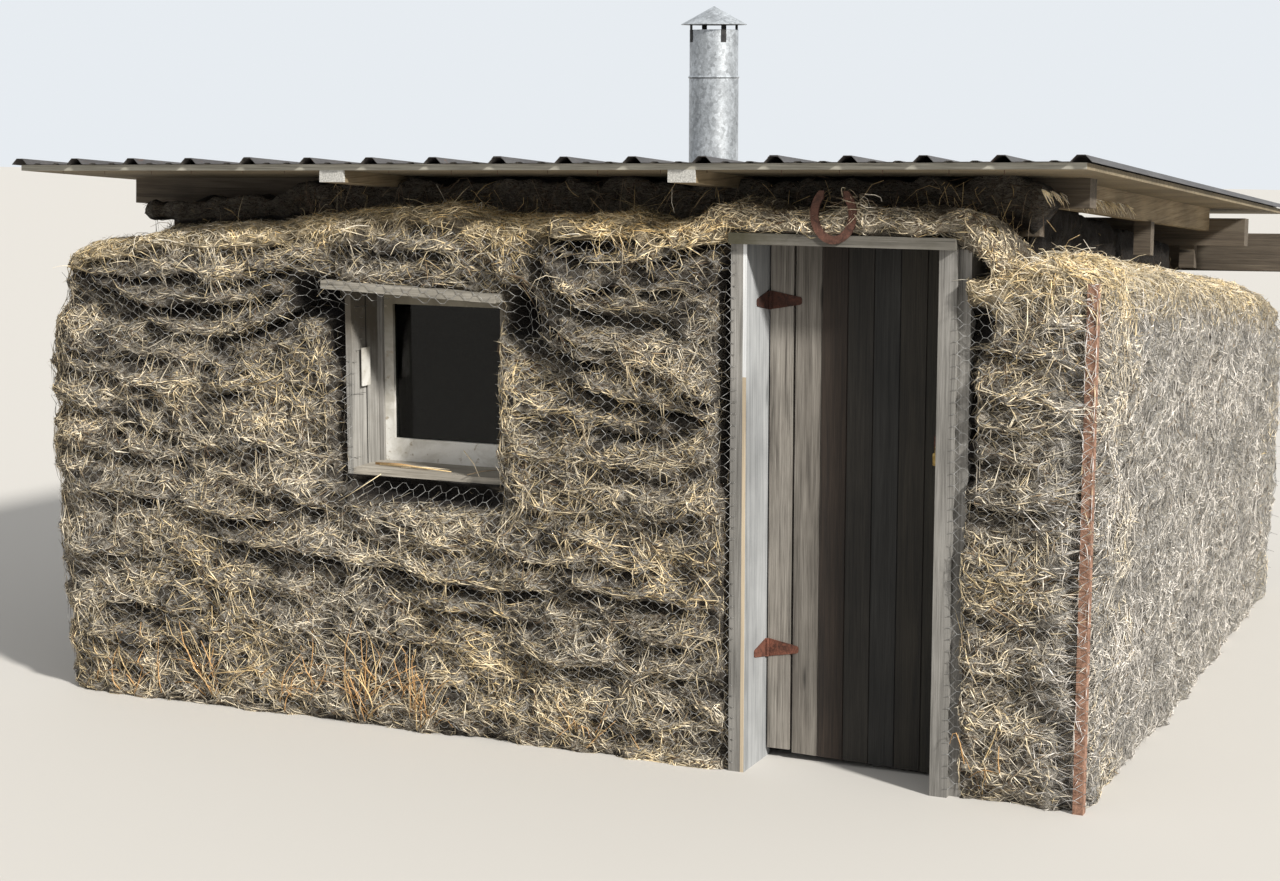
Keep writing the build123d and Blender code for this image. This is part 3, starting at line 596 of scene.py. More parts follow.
# A point on the wall's foot line, with its outward direction
def footPoint(s):
    s = s % around
    for side in range(4):
        length = runY if side % 2 == 0 else runX
        cx, cy = cornerSpots[side]
        nx, ny = sideNormals[side]
        tx, ty = sideNormals[(side + 1) % 4]
        if s <= length:
            back = length - s
            return cx + nx * corner - tx * back, cy + ny * corner - ty * back, nx, ny
        s -= length
        if s <= arc:
            turn = s / corner
            ox = nx * math.cos(turn) + tx * math.sin(turn)
            oy = ny * math.cos(turn) + ty * math.sin(turn)
            return cx + ox * corner, cy + oy * corner, ox, oy
        s -= arc
    return footPoint(0)


topX, topZ = zip(*wall["topLine"])


def wallTop(x, y):
    plane = wall["topFront"] + x * math.tan(math.radians(wall["crossFall"]))
    plane -= (y - wall["front"]) * math.tan(math.radians(wall["topPitch"]))
    plane -= wall["endDrop"] * smoothStep(wall["endFrom"], wall["endTo"], abs(x))
    share = smoothStep(wall["slopeFrom"], wall["lineFrom"], y)
    level = plane + share * (float(np.interp(x, topX, topZ)) - plane)
    if wall["packedFrom"] < x < wall["packedTo"]:
        level += wall["packed"] * math.exp(-((y - wall["packedAt"]) / wall["packedWide"]) ** 2)
    return waves(wall["uneven"], x, y, 0, level)


def bulgeShare(z):
    rise = min(1.0, max(0.0, z / wall["stack"]))
    base = wall["footShare"] + (wall["headShare"] - wall["footShare"]) * rise
    return base + (1 - base) * math.sin(math.pi * rise)


def bulgeMove(nx, ny, z, y):
    share = bulgeShare(z)
    byX = wall["bulgeLeft"] if nx < 0 else wall["bulgeRight"]
    byY = wall["bulgeFront"] if ny < 0 else wall["bulgeBack"]
    lean, brow = 0.0, 0.0
    if nx < 0:
        lean = wall["leftLean"] * smoothStep(wall["leanFrom"], wall["leanTo"], z)
        lean *= smoothStep(wall["shoulderGone"], wall["shoulderTo"], y)
    if ny < 0:
        brow = wall["brow"] * smoothStep(wall["browFrom"], wall["browTo"], z)
    return nx * (byX * share - lean), ny * (byY * share + brow)


# Radius of the wall's rounded upper edge: widest at the front left corner
def crownAt(x, y, nx, ny):
    left = wall["sideCrown"] - wall["leftCrown"]
    left = wall["leftCrown"] + left * smoothStep(wall["shoulderTo"], wall["shoulderGone"], y)
    return (wall["crown"] + (wall["frontCrown"] - wall["crown"]) * max(0.0, -ny) ** 2
            + (left - wall["crown"]) * max(0.0, -nx) ** 2 + 0.03 * wobble(x, y, 0, 2.4, 5))


# Steps and shade that the creases give at places on the front
def creaseField(x, z):
    calm = np.where(x > sodRelief["calmFrom"], sodRelief["calm"], 1.0)
    depth = np.zeros(len(x))
    dark = np.zeros(len(x))
    stray = np.array([waves(sodRelief["strays"], a, 0, b) for a, b in zip(x, z)])
    power = np.array([min(1.5, max(0.25, 1.0 + 1.5 * wobble(a, 0, b, 3.6, 87))) for a, b in zip(x, z)])
    z = z + sodRelief["stray"] * stray
    for step, points in creases:
        nearest = np.full(len(x), 9.0)
        signed = np.zeros(len(x))
        beyond = np.zeros(len(x))
        for (ax, az), (bx, bz) in zip(points[:-1], points[1:]):
            dx, dz = bx - ax, bz - az
            span = math.hypot(dx, dz)
            share = ((x - ax) * dx + (z - az) * dz) / span ** 2
            held = np.clip(share, 0, 1)
            gap = np.hypot(x - ax - dx * held, z - az - dz * held)
            side = ((z - az) * dx - (x - ax) * dz) / span
            closer = gap < nearest
            nearest = np.where(closer, gap, nearest)
            signed = np.where(closer, side, signed)
            beyond = np.where(closer, np.abs(share - held) * span, beyond)
        fade = np.exp(-(beyond / sodRelief["tail"]) ** 2)
        below = np.exp(np.minimum(signed, 0) / sodRelief["under"]) * (signed < sodRelief["lip"])
        above = np.exp(-((signed - sodRelief["noseAt"]) / sodRelief["noseWide"]) ** 2)
        depth += sodRelief["drop"] * calm * power * fade * step * (sodRelief["nose"] * above - below)
        dark = np.maximum(dark, np.minimum(1.0, calm * power * fade * below * step / sodRelief["fullDark"]))
    return depth, dark


def hollowField(x, z):
    sunk = np.zeros(len(x))
    for place, height, wide, high, deep in hollows:
        sunk += deep * np.exp(-((x - place) / wide) ** 4 - ((z - height) / high) ** 4)
    return sunk


# Depth of the general relief at a place, with its painted shade: how deep it lies in a joint, a chunk's edge or a
# fibre gap, partly the dark soil there
def courseRelief(x, y, z, share):
    level = (z - sodRelief["drift"] * wobble(x, y, z, 0.9, 3)) / sodRelief["course"]
    phase = level - math.floor(level)
    bow = (4 * phase * (1 - phase)) ** sodRelief["bow"]
    sharp = min(1.0, max(0.1, 0.55 + 0.9 * wobble(x, y, 0.37 * round(level), 1.7, 7))) * share
    depth = -sodRelief["joint"] * sharp * (1 - bow)
    depth += sodRelief["shelf"] * wobble(x, y, 1.7 * math.floor(level), 1.1, 19)
    depth = waves(sodRelief["lumps"], x, y, z, depth)
    chunk = noise.voronoi(Vector((7.5 * x + 0.8 * wobble(x, y, z, 8, 91), 7.5 * y, 13 * z)))[0]
    edge = 1 - min(1.0, (chunk[1] - chunk[0]) / sodRelief["chunkWide"])
    depth -= sodRelief["chunk"] * edge * edge
    gap = smoothStep(sodRelief["gapFrom"], sodRelief["gapTo"], waves(sodRelief["gaps"], x, y, z))
    for place, share in (sodRelief["gapFewest"], sodRelief["gapFewer"]):
        if x > place:
            gap *= share
            break
    depth -= sodRelief["gap"] * gap
    return depth, max(sharp * (1 - bow), 0.75 * edge ** 3, 0.82 * gap)


# The wall's outer point, its outward direction and its inner point at a place along the foot line
def wallPlace(s):
    x, y, nx, ny = footPoint(s)
    ix = min(half - thick, max(-half + thick, x))
    iy = min(wall["back"] - thick, max(wall["front"] + thick, y))
    return x, y, nx, ny, ix, iy


# A flat grid to bend into a sod piece, and the values that its vertices carry
def sodGrid(columns, rows):
    bm = bmesh.new()
    bmesh.ops.create_grid(bm, x_segments=columns, y_segments=rows, size=1)
    return bm, {key: bm.verts.layers.float.new(key) for key in ("dark", "straw", "skin")}


def closeSod(bm, name, node, merge):
    bmesh.ops.remove_doubles(bm, verts=bm.verts, dist=merge)
    bmesh.ops.holes_fill(bm, edges=[e for e in bm.edges if e.is_boundary], sides=0)
    bmesh.ops.recalc_face_normals(bm, faces=bm.faces)
    piece = addObject(name, meshFrom(bm, name), sodMat, smooth=True)
    if node:
        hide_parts(node)
    return piece


# One closed wall piece: columns along the foot line, rows round its section
def sodPanel(node, sFrom, sTo, low=0.0, high=None, step=0.013, rise=0.0115, topRows=9):
    columns = max(2, math.ceil((sTo - sFrom) / step))
    lowAt = low if callable(low) else (lambda x: low)
    tallest = (high if high is not None else wall["topFront"]) - lowAt(-0.4)
    upright = max(4, math.ceil(tallest / rise))
    rows = [("out", i / upright) for i in range(upright)]
    if high is None:
        rows += [("crown", i / wall["crownRows"]) for i in range(wall["crownRows"])]
        rows += [("top", i / topRows) for i in range(topRows + 1)]
    else:
        rows += [("flat", i / topRows) for i in range(topRows + 1)]
    rows += [("foot", 0.0), ("out", 0.0)]
    bm, layers = sodGrid(columns, len(rows) - 1)
    places = [wallPlace(sFrom + (sTo - sFrom) * i / columns) for i in range(columns + 1)]
    crowns = [crownAt(*p[:4]) if high is None else 0.0 for p in places]
    states = []
    for v in bm.verts:
        column = round((v.co.x + 1) / 2 * columns)
        x, y, nx, ny, ix, iy = places[column]
        crown = crowns[column]
        kind, share = rows[round((v.co.y + 1) / 2 * (len(rows) - 1))]
        floorZ = lowAt(x)
        top = wallTop(x, y) if high is None else high
        inward, z, nz = 0.0, floorZ + (top - crown - floorZ) * share, 0.0
        if kind == "crown":
            turn = share * math.pi / 2
            inward, z = crown * (1 - math.cos(turn)), top - crown + crown * math.sin(turn)
            nz = math.sin(turn)
        elif kind == "top":
            inward, nz, z = crown + (thick - crown) * share, 1.0, top
        elif kind == "flat":
            inward, z = thick * share, high
        elif kind == "foot":
            inward, z = thick, floorZ
        px = x + (ix - x) * inward / thick
        py = y + (iy - y) * inward / thick
        if kind in ("top", "crown"):
            z += (wallTop(px, py) - top) * (1.0 if kind == "top" else share)
        states.append((px, py, z, nx, ny, nz, kind, share, inward, top))
    xs = np.array([t[0] for t in states])
    zs = np.array([t[2] for t in states])
    onFront = np.array([max(0.0, -t[4]) ** 4 for t in states])
    creaseDepth, creaseDark = creaseField(xs, zs)
    sunk = hollowField(xs, zs)
    for i, v in enumerate(bm.verts):
        px, py, z, nx, ny, nz, kind, share, inward, top = states[i]
        front = onFront[i]
        general = sodRelief["rightShare"] if nx > 0.5 else 1.0
        depth, dark = courseRelief(px, py, z, general + (sodRelief["frontShare"] - general) * front)
        depth += front * (creaseDepth[i] - sunk[i])
        # dark is painted shade: joints, creases and hollows, partly the dark soil there
        dark = max(dark, front * creaseDark[i], front * max(0.0, sunk[i]) / sodRelief["sunkDark"])
        # The cut and inner faces get full painted shade, and the top's inner half gets some, under the roof
        if kind in ("flat", "foot"):
            depth, dark, nz = depth * max(0.0, 1 - inward / sodRelief["cutFade"]), 1.0, 0.0
        elif kind == "top":
            depth = waves(sodRelief["top"], px, py, 0) * smoothStep(1.0, 0.8, share)
            dark = sodRelief["topDark"] * smoothStep(0.2, 0.5, share)
        elif kind == "crown":
            depth = depth * (1 - 0.7 * share) + waves(sodRelief["crown"], px, py, z) * share
            dark *= 1 - 0.8 * share
        mx, my = bulgeMove(nx, ny, z, py)
        fade = 1 - inward / thick
        flat = math.sqrt(max(0.0, 1 - nz * nz))
        v.co = (px + mx * fade + nx * flat * depth, py + my * fade + ny * flat * depth,
                max(0.0, z + nz * depth))
        band = sodRelief["endBand"] if nx > 0.5 or px > sodRelief["endBandFrom"] else sodRelief["strawBand"]
        v[layers["dark"]] = min(1.0, dark)
        v[layers["straw"]] = smoothStep(-1.5 * band, -0.4 * band, z - top) if high is None else 0.0
        v[layers["skin"]] = 1.0 if kind in ("out", "crown", "top") else 0.0
    return closeSod(bm, node.replace("turf", "sods"), node, 0.00002)


def headLine(x):
    return wall["headTop"] - (x - windowLow.x) * math.tan(math.radians(wall["headTilt"]))


coarse = {"step": 0.034, "rise": 0.024, "topRows": 6}
windowLeft, windowRight = alongFront(windowLow.x), alongFront(windowHigh.x)
sods = [
    sodPanel("turf_front_left", alongLeft(frontInner), windowLeft),
    sodPanel("turf_under_window", windowLeft, windowRight, high=windowLow.z - 0.001),
    sodPanel("turf_over_window", windowLeft, windowRight, low=headLine, rise=0.012),
    sodPanel("turf_window_pier", windowRight, alongFront(doorLeft)),
    sodPanel("turf_right_pier", alongFront(doorRight), alongRight(frontInner)),
    sodPanel("turf_right_wall", alongRight(frontInner), alongRight(backInner), step=0.020, rise=0.018),
    sodPanel("turf_left_wall", alongLeft(backInner), alongLeft(frontInner), **coarse),
    sodPanel("turf_back_wall", alongRight(backInner), around + alongLeft(backInner), **coarse),
]


# The sod stays behind the horseshoe: its two sides and its back
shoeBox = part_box("horseshoe")
shoe = (shoeBox[0].x - 0.02, shoeBox[1].x + 0.02, shoeBox[1].y + 0.001)
loaf = {"end": 0.05, "lumps": [(0.012, 1, 9, 61), (0.009, 1, 22, 67)], "merge": 0.0002}


# A long soft sod laid along a path of x, z and height, and the packing under the eave made the same way
def sodLoaf(name, path, middle, depth, node=None, step=0.014, around=28, dark=0.0, straw=0.5, rough=1.0,
            alongY=False):
    spans = [math.hypot(b[0] - a[0], b[1] - a[1]) for a, b in zip(path[:-1], path[1:])]
    total = sum(spans)
    marks = np.concatenate([[0], np.cumsum(spans)])
    columns = math.ceil(total / step)
    at = np.linspace(0, total, columns + 1)
    xs, zs, hs = (np.interp(at, marks, [p[i] for p in path]) for i in range(3))
    tx, tz = np.gradient(xs), np.gradient(zs)
    bm, layers = sodGrid(columns, around)
    for v in bm.verts:
        i = round((v.co.x + 1) / 2 * columns)
        turn = 2 * math.pi * (v.co.y + 1) / 2
        size = math.hypot(tx[i], tz[i])
        ux, uz = -tz[i] / size, tx[i] / size
        taper = math.sqrt(min(1.0, min(at[i], total - at[i]) / loaf["end"] + 0.001))
        c, s = math.cos(turn), math.sin(turn)
        c, s = math.copysign(abs(c) ** 0.55, c), math.copysign(abs(s) ** 0.65, s)
        out = 0.5 * hs[i] * s * taper
        side = 0.5 * depth * c * (0.4 + 0.6 * taper)
        x, y, z = xs[i] + ux * out, middle + side, zs[i] + uz * out
        lump = rough * waves(loaf["lumps"], x, y, z) * taper
        place = (x + ux * s * lump, y + c * lump, z + uz * s * lump)
        v.co = (place[1], place[0], place[2]) if alongY else place
        if shoe[0] < v.co.x < shoe[1] and not alongY:
            v.co.y = max(v.co.y, shoe[2])
        # Painted shade on the loaf's underside and on the back of its top, under the roof
        v[layers["dark"]] = min(1.0, dark + (0.6 if s < -0.6 or s > 0.75 and c > -0.6 else 0.0))
        v[layers["straw"]] = straw
        v[layers["skin"]] = 1.0
    return closeSod(bm, name, node, loaf["merge"])


cap = sodLoaf("sod_cap", [
    (0.48, 1.665, 0.04), (0.56, 1.69, 0.07), (0.64, 1.720, 0.090), (0.72, 1.746, 0.095), (0.79, 1.748, 0.10),
    (0.86, 1.742, 0.082), (0.98, 1.737, 0.064), (1.10, 1.744, 0.085), (1.20, 1.739, 0.070),
    (1.29, 1.743, 0.084), (1.36, 1.742, 0.080), (1.44, 1.738, 0.094), (1.505, 1.705, 0.098),
    (1.55, 1.65, 0.085), (1.57, 1.585, 0.07)],
    -1.562, 0.285, node="turf_over_door", straw=0.35, rough=1.8)
# The packings' dark is painted shade under the eave
packing = sodLoaf("eave_packing", [
    (-1.62, 1.70, 0.07), (-1.05, 1.72, 0.09), (-0.98, 1.745, 0.12), (-0.80, 1.755, 0.14), (0.0, 1.77, 0.15),
    (1.0, 1.785, 0.16), (1.55, 1.795, 0.15), (1.66, 1.79, 0.12)],
    -1.405, 0.15, step=0.02, around=24, dark=0.75, straw=0.0, rough=2.6)
sidePacking = sodLoaf("side_packing", [
    (-1.12, 1.715, 0.14), (-0.9, 1.69, 0.17), (-0.6, 1.655, 0.16), (-0.30, 1.615, 0.15), (0.1, 1.568, 0.135),
    (0.5, 1.528, 0.14), (0.8, 1.488, 0.13), (1.12, 1.45, 0.12)],
    1.465, 0.11, step=0.02, around=20, dark=1.0, straw=0.0, rough=1.8, alongY=True)
print("sod walls ready", sum(len(o.data.polygons) for o in sods), "faces")


# Straw and grass: every strand tapers to both ends and lies on the sods

palette = {
    "white": (0.95, 0.875, 0.74), "pale": (0.89, 0.77, 0.57), "grey": (0.62, 0.56, 0.48),
    "mid": (0.34, 0.26, 0.175), "brown": (0.15, 0.10, 0.062), "dark": (0.045, 0.030, 0.019),
    "straw": (0.94, 0.79, 0.52), "gold": (0.82, 0.61, 0.32), "tan": (0.62, 0.37, 0.16),
    "ash": (0.94, 0.905, 0.885), "cloud": (0.84, 0.805, 0.775), "slate": (0.50, 0.475, 0.45),
}


def tintFor(count, parts):
    names = list(parts)
    table = np.array([palette[n] for n in names])
    chances = np.array([parts[n] for n in names], float)
    picked = rng.choice(len(names), size=count, p=chances / chances.sum())
    return table[picked] * rng.uniform(0.84, 1.07, (count, 1))


# Joined mesh of many alike small shapes, from their points and one shape's faces
def joinMany(name, points, faces, tint, material):
    count, each = points.shape[:2]
    sizes = np.array([len(f) for f in faces])
    loops = np.concatenate([np.array(f) for f in faces])
    mesh = bpy.data.meshes.new(name)
    mesh.vertices.add(count * each)
    mesh.vertices.foreach_set("co", points.reshape(-1).astype(np.float32))
    mesh.loops.add(count * len(loops))
    corners = (loops[None, :] + (np.arange(count) * each)[:, None]).reshape(-1)
    mesh.loops.foreach_set("vertex_index", corners.astype(np.int32))
    mesh.polygons.add(count * len(faces))
    starts = np.concatenate([[0], np.cumsum(np.tile(sizes, count))[:-1]])
    mesh.polygons.foreach_set("loop_start", starts.astype(np.int32))
    mesh.update(calc_edges=True)
    if tint is not None:
        colours = np.ones((count, each, 4), np.float32)
        colours[:, :, :3] = tint[:, None, :]
        mesh.attributes.new("tint", "FLOAT_COLOR", "POINT").data.foreach_set("color", colours.reshape(-1))
    return addObject(name, mesh, material)


def unit(rows):
    return rows / (np.linalg.norm(rows, axis=-1, keepdims=True) + 1e-12)


strand = {
    "faces": [(0, 2, 1), (0, 3, 2), (0, 1, 3), (4, 1, 2), (4, 2, 3), (4, 3, 1)], "wide": 1.25, "thick": 0.6,
}


def layStrands(name, root, middle, tip, facing, radius, tint):
    way = unit(tip - root)
    side = unit(np.cross(facing, way))
    out = np.cross(way, side)
    points = np.zeros((len(root), 5, 3))
    points[:, 0] = root
    points[:, 4] = tip
    for k in range(3):
        angle = math.radians(90 + 120 * k)
        offset = side * math.cos(angle) * strand["wide"] + out * math.sin(angle) * strand["thick"]
        points[:, k + 1] = middle + offset * radius[:, None]
    points[:, :, 2] = np.maximum(points[:, :, 2], 0.0)
    return joinMany(name, points, strand["faces"], tint, grassMat)


# Tubes of three sides through rows of points, closed at both ends
def layTubes(name, lines, radii, tint, material):
    pieces = []
    byLength = {}
    for i, line in enumerate(lines):
        byLength.setdefault(len(line), []).append(i)
    for n, picked in sorted(byLength.items()):
        line = np.array([lines[i] for i in picked])
        radius = np.array([radii[i] for i in picked])
        way = np.zeros_like(line)
        way[:, 1:-1] = line[:, 2:] - line[:, :-2]
        way[:, 0] = line[:, 1] - line[:, 0]
        way[:, -1] = line[:, -1] - line[:, -2]
        way = unit(way)
        side = unit(np.cross(way, np.array([0.31, 0.83, 0.47])))
        out = np.cross(way, side)
        points = np.zeros((len(picked), n * 3, 3))
        for k in range(3):
            angle = 2 * math.pi * k / 3
            points[:, k::3] = line + (side * math.cos(angle) + out * math.sin(angle)) * radius[:, :, None]
        faces = [(0, 2, 1), (3 * n - 3, 3 * n - 2, 3 * n - 1)]
        for ring in range(n - 1):
            for k in range(3):
                a, b = 3 * ring + k, 3 * ring + (k + 1) % 3
                faces.append((a, b, b + 3, a + 3))
        shade = None if tint is None else tint[picked]
        suffix = "" if len(byLength) == 1 else f"_{n}"
        pieces.append(joinMany(name + suffix, points, faces, shade, material))
    return pieces


# Random places on a sod piece's outer skin, with the values stored there
def scatterOn(piece, density, bias):
    mesh = piece.data
    mesh.calc_loop_triangles()
    triangles = np.zeros(len(mesh.loop_triangles) * 3, np.int32)
    mesh.loop_triangles.foreach_get("vertices", triangles)
    triangles = triangles.reshape(-1, 3)
    points = np.zeros(len(mesh.vertices) * 3, np.float32)
    mesh.vertices.foreach_get("co", points)
    points = points.reshape(-1, 3).astype(float)
    values = {}
    for key in ("dark", "straw", "skin"):
        data = np.zeros(len(mesh.vertices), np.float32)
        mesh.attributes[key].data.foreach_get("value", data)
        values[key] = data
    a, b, c = (points[triangles[:, i]] for i in range(3))
    cross = np.cross(b - a, c - a)
    onSkin = values["skin"][triangles].min(axis=1) > 0.5
    area = np.linalg.norm(cross, axis=1) / 2 * onSkin
    weight = area * bias((a + b + c) / 3, values["dark"][triangles].mean(axis=1))
    count = int(density * area.sum())
    picked = rng.choice(len(triangles), size=count, p=weight / weight.sum())
    u, v = rng.random(count), rng.random(count)
    flip = u + v > 1
    u[flip], v[flip] = 1 - u[flip], 1 - v[flip]
    spot = a[picked] + (b - a)[picked] * u[:, None] + (c - a)[picked] * v[:, None]
    found = {key: values[key][triangles[picked]].mean(axis=1) for key in values}
    return spot, unit(cross[picked]), found


# One search tree over several pieces, so that strands lie across the joins, with the shade of each triangle
def shadeTree(pieces, plain=()):
    points, triangles, dark = [], [], []
    for name in plain:
        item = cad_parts[name]
        base = len(points)
        points += [tuple(v.co) for v in item.data.vertices]
        for face in item.data.polygons:
            corners = tuple(base + i for i in face.vertices)
            triangles += [(corners[0], corners[k], corners[k + 1]) for k in range(1, len(corners) - 1)]
            dark += [0.0] * (len(corners) - 2)
    for piece in pieces:
        mesh = piece.data
        mesh.calc_loop_triangles()
        base = len(points)
        points += [tuple(v.co) for v in mesh.vertices]
        shade = [item.value for item in mesh.attributes["dark"].data]
        skin = [item.value for item in mesh.attributes["skin"].data]
        for triangle in mesh.loop_triangles:
            corners = tuple(triangle.vertices)
            if min(skin[i] for i in corners) > 0.5:
                triangles.append(tuple(base + i for i in corners))
                dark.append(sum(shade[i] for i in corners) / 3)
    return BVHTree.FromPolygons(points, triangles), np.array(dark)


def snapTo(tree, points, lift):
    out = np.array(points)
    under = np.zeros(len(points), np.int32)
    for i, p in enumerate(points):
        near, normal, index, gap = tree.find_nearest(p)
        out[i] = near + normal * lift[i]
        under[i] = index
    return out, under


def noiseAt(points, scale, shift=0):
    return np.array([
        noise.noise(Vector((p[0] * scale[0] + shift, p[1] * scale[1], p[2] * scale[2]))) for p in points])


straw = {
    "front": 6900, "right": 5300, "hidden": 1450, "cap": 6500, "packing": 2000,
    "length": (0.038, 0.125), "longShare": 0.07, "longer": 1.7, "bend": 0.06, "spread": 0.65, "flow": 2.2,
    "fine": (0.0009, 0.0016), "broad": (0.0014, 0.0023), "broadShare": 0.40, "broadLift": 0.0015,
    "lift": (0.0005, 0.0035), "middleLift": 0.002, "looseShare": 0.16, "loose": (0.006, 0.024),
    "reach": 0.028, "rooted": 0.003, "shaded": 0.88,
    # Thinner along the left side, towards the left wall
    "leftEdge": -1.74, "thinFrom": -1.62, "thinOver": 0.38, "thinned": 0.70,
    # Paler straws round the front right corner
    "endFrom": 1.68, "endOver": 0.10, "endShare": 0.85,
    "warm": (1.06, 0.97, 0.77), "cool": (1.0, 0.975, 0.92), "clump": 1.3, "bank": 0.55, "shadow": 0.72,
}
frontParts = {"white": 0.44, "pale": 0.30, "grey": 0.09, "mid": 0.05, "brown": 0.08, "straw": 0.04}
rightParts = {"ash": 0.50, "cloud": 0.34, "slate": 0.12, "mid": 0.04}
capParts = {"white": 0.38, "pale": 0.24, "grey": 0.10, "brown": 0.28}
topParts = {"straw": 0.34, "pale": 0.22, "white": 0.38, "gold": 0.06}
# Dark tints for the packings under the eave: partly their brown roots, partly painted shade
shadedPackingParts = {"mid": 0.2, "brown": 0.5, "dark": 0.25, "gold": 0.05}
strawTree, faceDark = shadeTree(sods + [cap, packing, sidePacking], ["corner_stake"])


def coverWithStraw(piece, density, parts, hang=0.0, warmth=1.0, astray=0.30, short=1.0, wide=1.0):
    root, normal, found = scatterOn(piece, density, lambda p, d: np.maximum(0.04, 1.1 - 1.2 * d))
    count = len(root)
    level = unit(np.cross(np.tile([0.0, 0.0, 1.0], (count, 1)), normal) + 1e-6)
    rise = np.cross(normal, level)
    angle = noiseAt(root, (3.1, 3.1, 4.3)) * straw["flow"] + rng.normal(0, straw["spread"], count)
    angle += math.pi * (rng.random(count) < 0.5)
    wild = rng.random(count) < astray + 0.5 * np.abs(normal[:, 2])
    angle[wild] = rng.uniform(0, 2 * math.pi, wild.sum())
    way = level * np.cos(angle)[:, None] + rise * np.sin(angle)[:, None]
    way[:, 2] -= hang * rng.random(count)
    way = unit(way)
    length = short * rng.uniform(*straw["length"], count)
    length = length * np.where(rng.random(count) < straw["longShare"], straw["longer"], 1.0)
    bend = np.cross(normal, way) * (rng.normal(0, straw["bend"], count) * length)[:, None]
    lift = rng.uniform(*straw["lift"], count)
    broad = rng.random(count) < straw["broadShare"] * wide
    lift += np.where(broad, straw["broadLift"], 0.0)
    middle, under = snapTo(strawTree, root + way * (length * 0.5)[:, None] + bend, lift + straw["middleLift"])
    loose = np.where(rng.random(count) < straw["looseShare"], rng.uniform(*straw["loose"], count), 0.0)
    tip, ending = snapTo(strawTree, root + way * length[:, None], lift * 0.5 + loose)
    shade = np.maximum(np.maximum(faceDark[under], 0.8 * faceDark[ending]), found["dark"])
    kept = rng.random(count) > straw["shaded"] * shade
    thin = np.clip((root[:, 1] - straw["thinFrom"]) / straw["thinOver"], 0, 1)
    thin *= root[:, 0] < straw["leftEdge"]
    if density > straw["hidden"]:
        kept &= rng.random(count) > straw["thinned"] * thin
    for a, b in ((root, middle), (middle, tip)):
        kept &= np.array([strawTree.find_nearest(p)[3] < straw["reach"] for p in (a + b) / 2])
    root, middle, tip, normal, broad = root[kept], middle[kept], tip[kept], normal[kept], broad[kept]
    gilt = found["straw"][kept]
    shade, count = shade[kept], int(kept.sum())
    tint = tintFor(count, parts)
    golden = tintFor(count, topParts)
    useGold = rng.random(count) < gilt
    tint[useGold] = golden[useGold]
    warm = np.clip(noiseAt(root, (1.9, 1.9, 2.6), 9) * 1.6 + 0.35, 0, 1)[:, None] * warmth
    atEnd = np.clip((root[:, 0] - straw["endFrom"]) / straw["endOver"], 0, 1) * (gilt < 0.3)
    ashen = rng.random(count) < atEnd * straw["endShare"]
    tint[ashen] = tintFor(count, rightParts)[ashen]
    tint = tint * (warm * np.array(straw["warm"]) + (1 - warm) * np.array(straw["cool"]))
    tint *= np.clip(0.98 + straw["clump"] * noiseAt(root, (17, 17, 26)), 0.30, 1.06)[:, None]
    tint *= np.clip(1.02 + straw["bank"] * noiseAt(root, (5, 3.2, 7.5), 3), 0.62, 1.10)[:, None]
    tint *= (1 - straw["shadow"] * np.clip(shade, 0, 1) ** 1.3)[:, None]
    tint[broad] *= 1.04
    radius = np.where(broad, rng.uniform(*straw["broad"], count), rng.uniform(*straw["fine"], count))
    name = piece.name.replace("sods", "straw") if "sods" in piece.name else piece.name + "_straw"
    layStrands(name, root - normal * straw["rooted"], middle, tip, normal, radius, tint)
    print(name, 6 * count, "triangles")


for piece in sods:
    if piece.name in ("sods_left_wall", "sods_back_wall"):
        coverWithStraw(piece, straw["hidden"], frontParts)
    elif piece.name == "sods_right_wall":
        coverWithStraw(piece, straw["right"], rightParts, warmth=0.0, astray=0.15, short=0.9, wide=0.35)
    else:
        coverWithStraw(piece, straw["front"], frontParts)
coverWithStraw(cap, straw["cap"], capParts, astray=0.55, short=0.8)
for piece in (packing, sidePacking):
    coverWithStraw(piece, straw["packing"], shadedPackingParts, hang=0.6)


# Straws that have grown over the corner stake
stakeLow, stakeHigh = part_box("corner_stake")
stakeStraw = {"count": 130, "high": 1.62, "length": (0.03, 0.09), "radius": (0.0008, 0.0015),
              "parts": {"ash": 0.4, "cloud": 0.3, "white": 0.2, "straw": 0.1}}
count = stakeStraw["count"]
spots = np.column_stack([
    rng.uniform(stakeLow.x - 0.03, stakeHigh.x + 0.02, count),
    np.full(count, stakeLow.y - 0.03), stakeStraw["high"] * rng.random(count) ** 0.7])
snug = np.full(count, 0.003)
spots = snapTo(strawTree, spots, snug)[0]
angle = rng.uniform(0, 2 * math.pi, count)
reach = rng.uniform(*stakeStraw["length"], count)[:, None]
way = np.column_stack([np.cos(angle), np.zeros(count), np.sin(angle)])
middles = snapTo(strawTree, spots + way * reach * 0.5, snug)[0]
tips = snapTo(strawTree, spots + way * reach, snug)[0]
outward = np.tile([0.5, -0.86, 0.0], (count, 1))
layStrands("stake_straws", spots, middles, tips, outward, rng.uniform(*stakeStraw["radius"], count),
           tintFor(count, stakeStraw["parts"]))


# Galvanised netting: zigzag wires that meet at short level twists, drawn over the sods' noses

netting = {
    # Distance between twists along the wall and in height
    "front": (0.064, 0.036), "right": (0.088, 0.050), "hidden": (0.130, 0.074),
    "radius": 0.0009, "stand": 0.0035, "fromTop": 0.06, "firstRow": 0.03, "lastRow": 1.80,
    "grid": 0.015, "low": 0.02, "high": 1.86, "castFrom": 0.3, "castOver": 0.55, "missed": -0.3, "least": -0.2,
    "reach": 0.05, "sag": 0.004, "sway": 0.10, "chunk": 8,
}


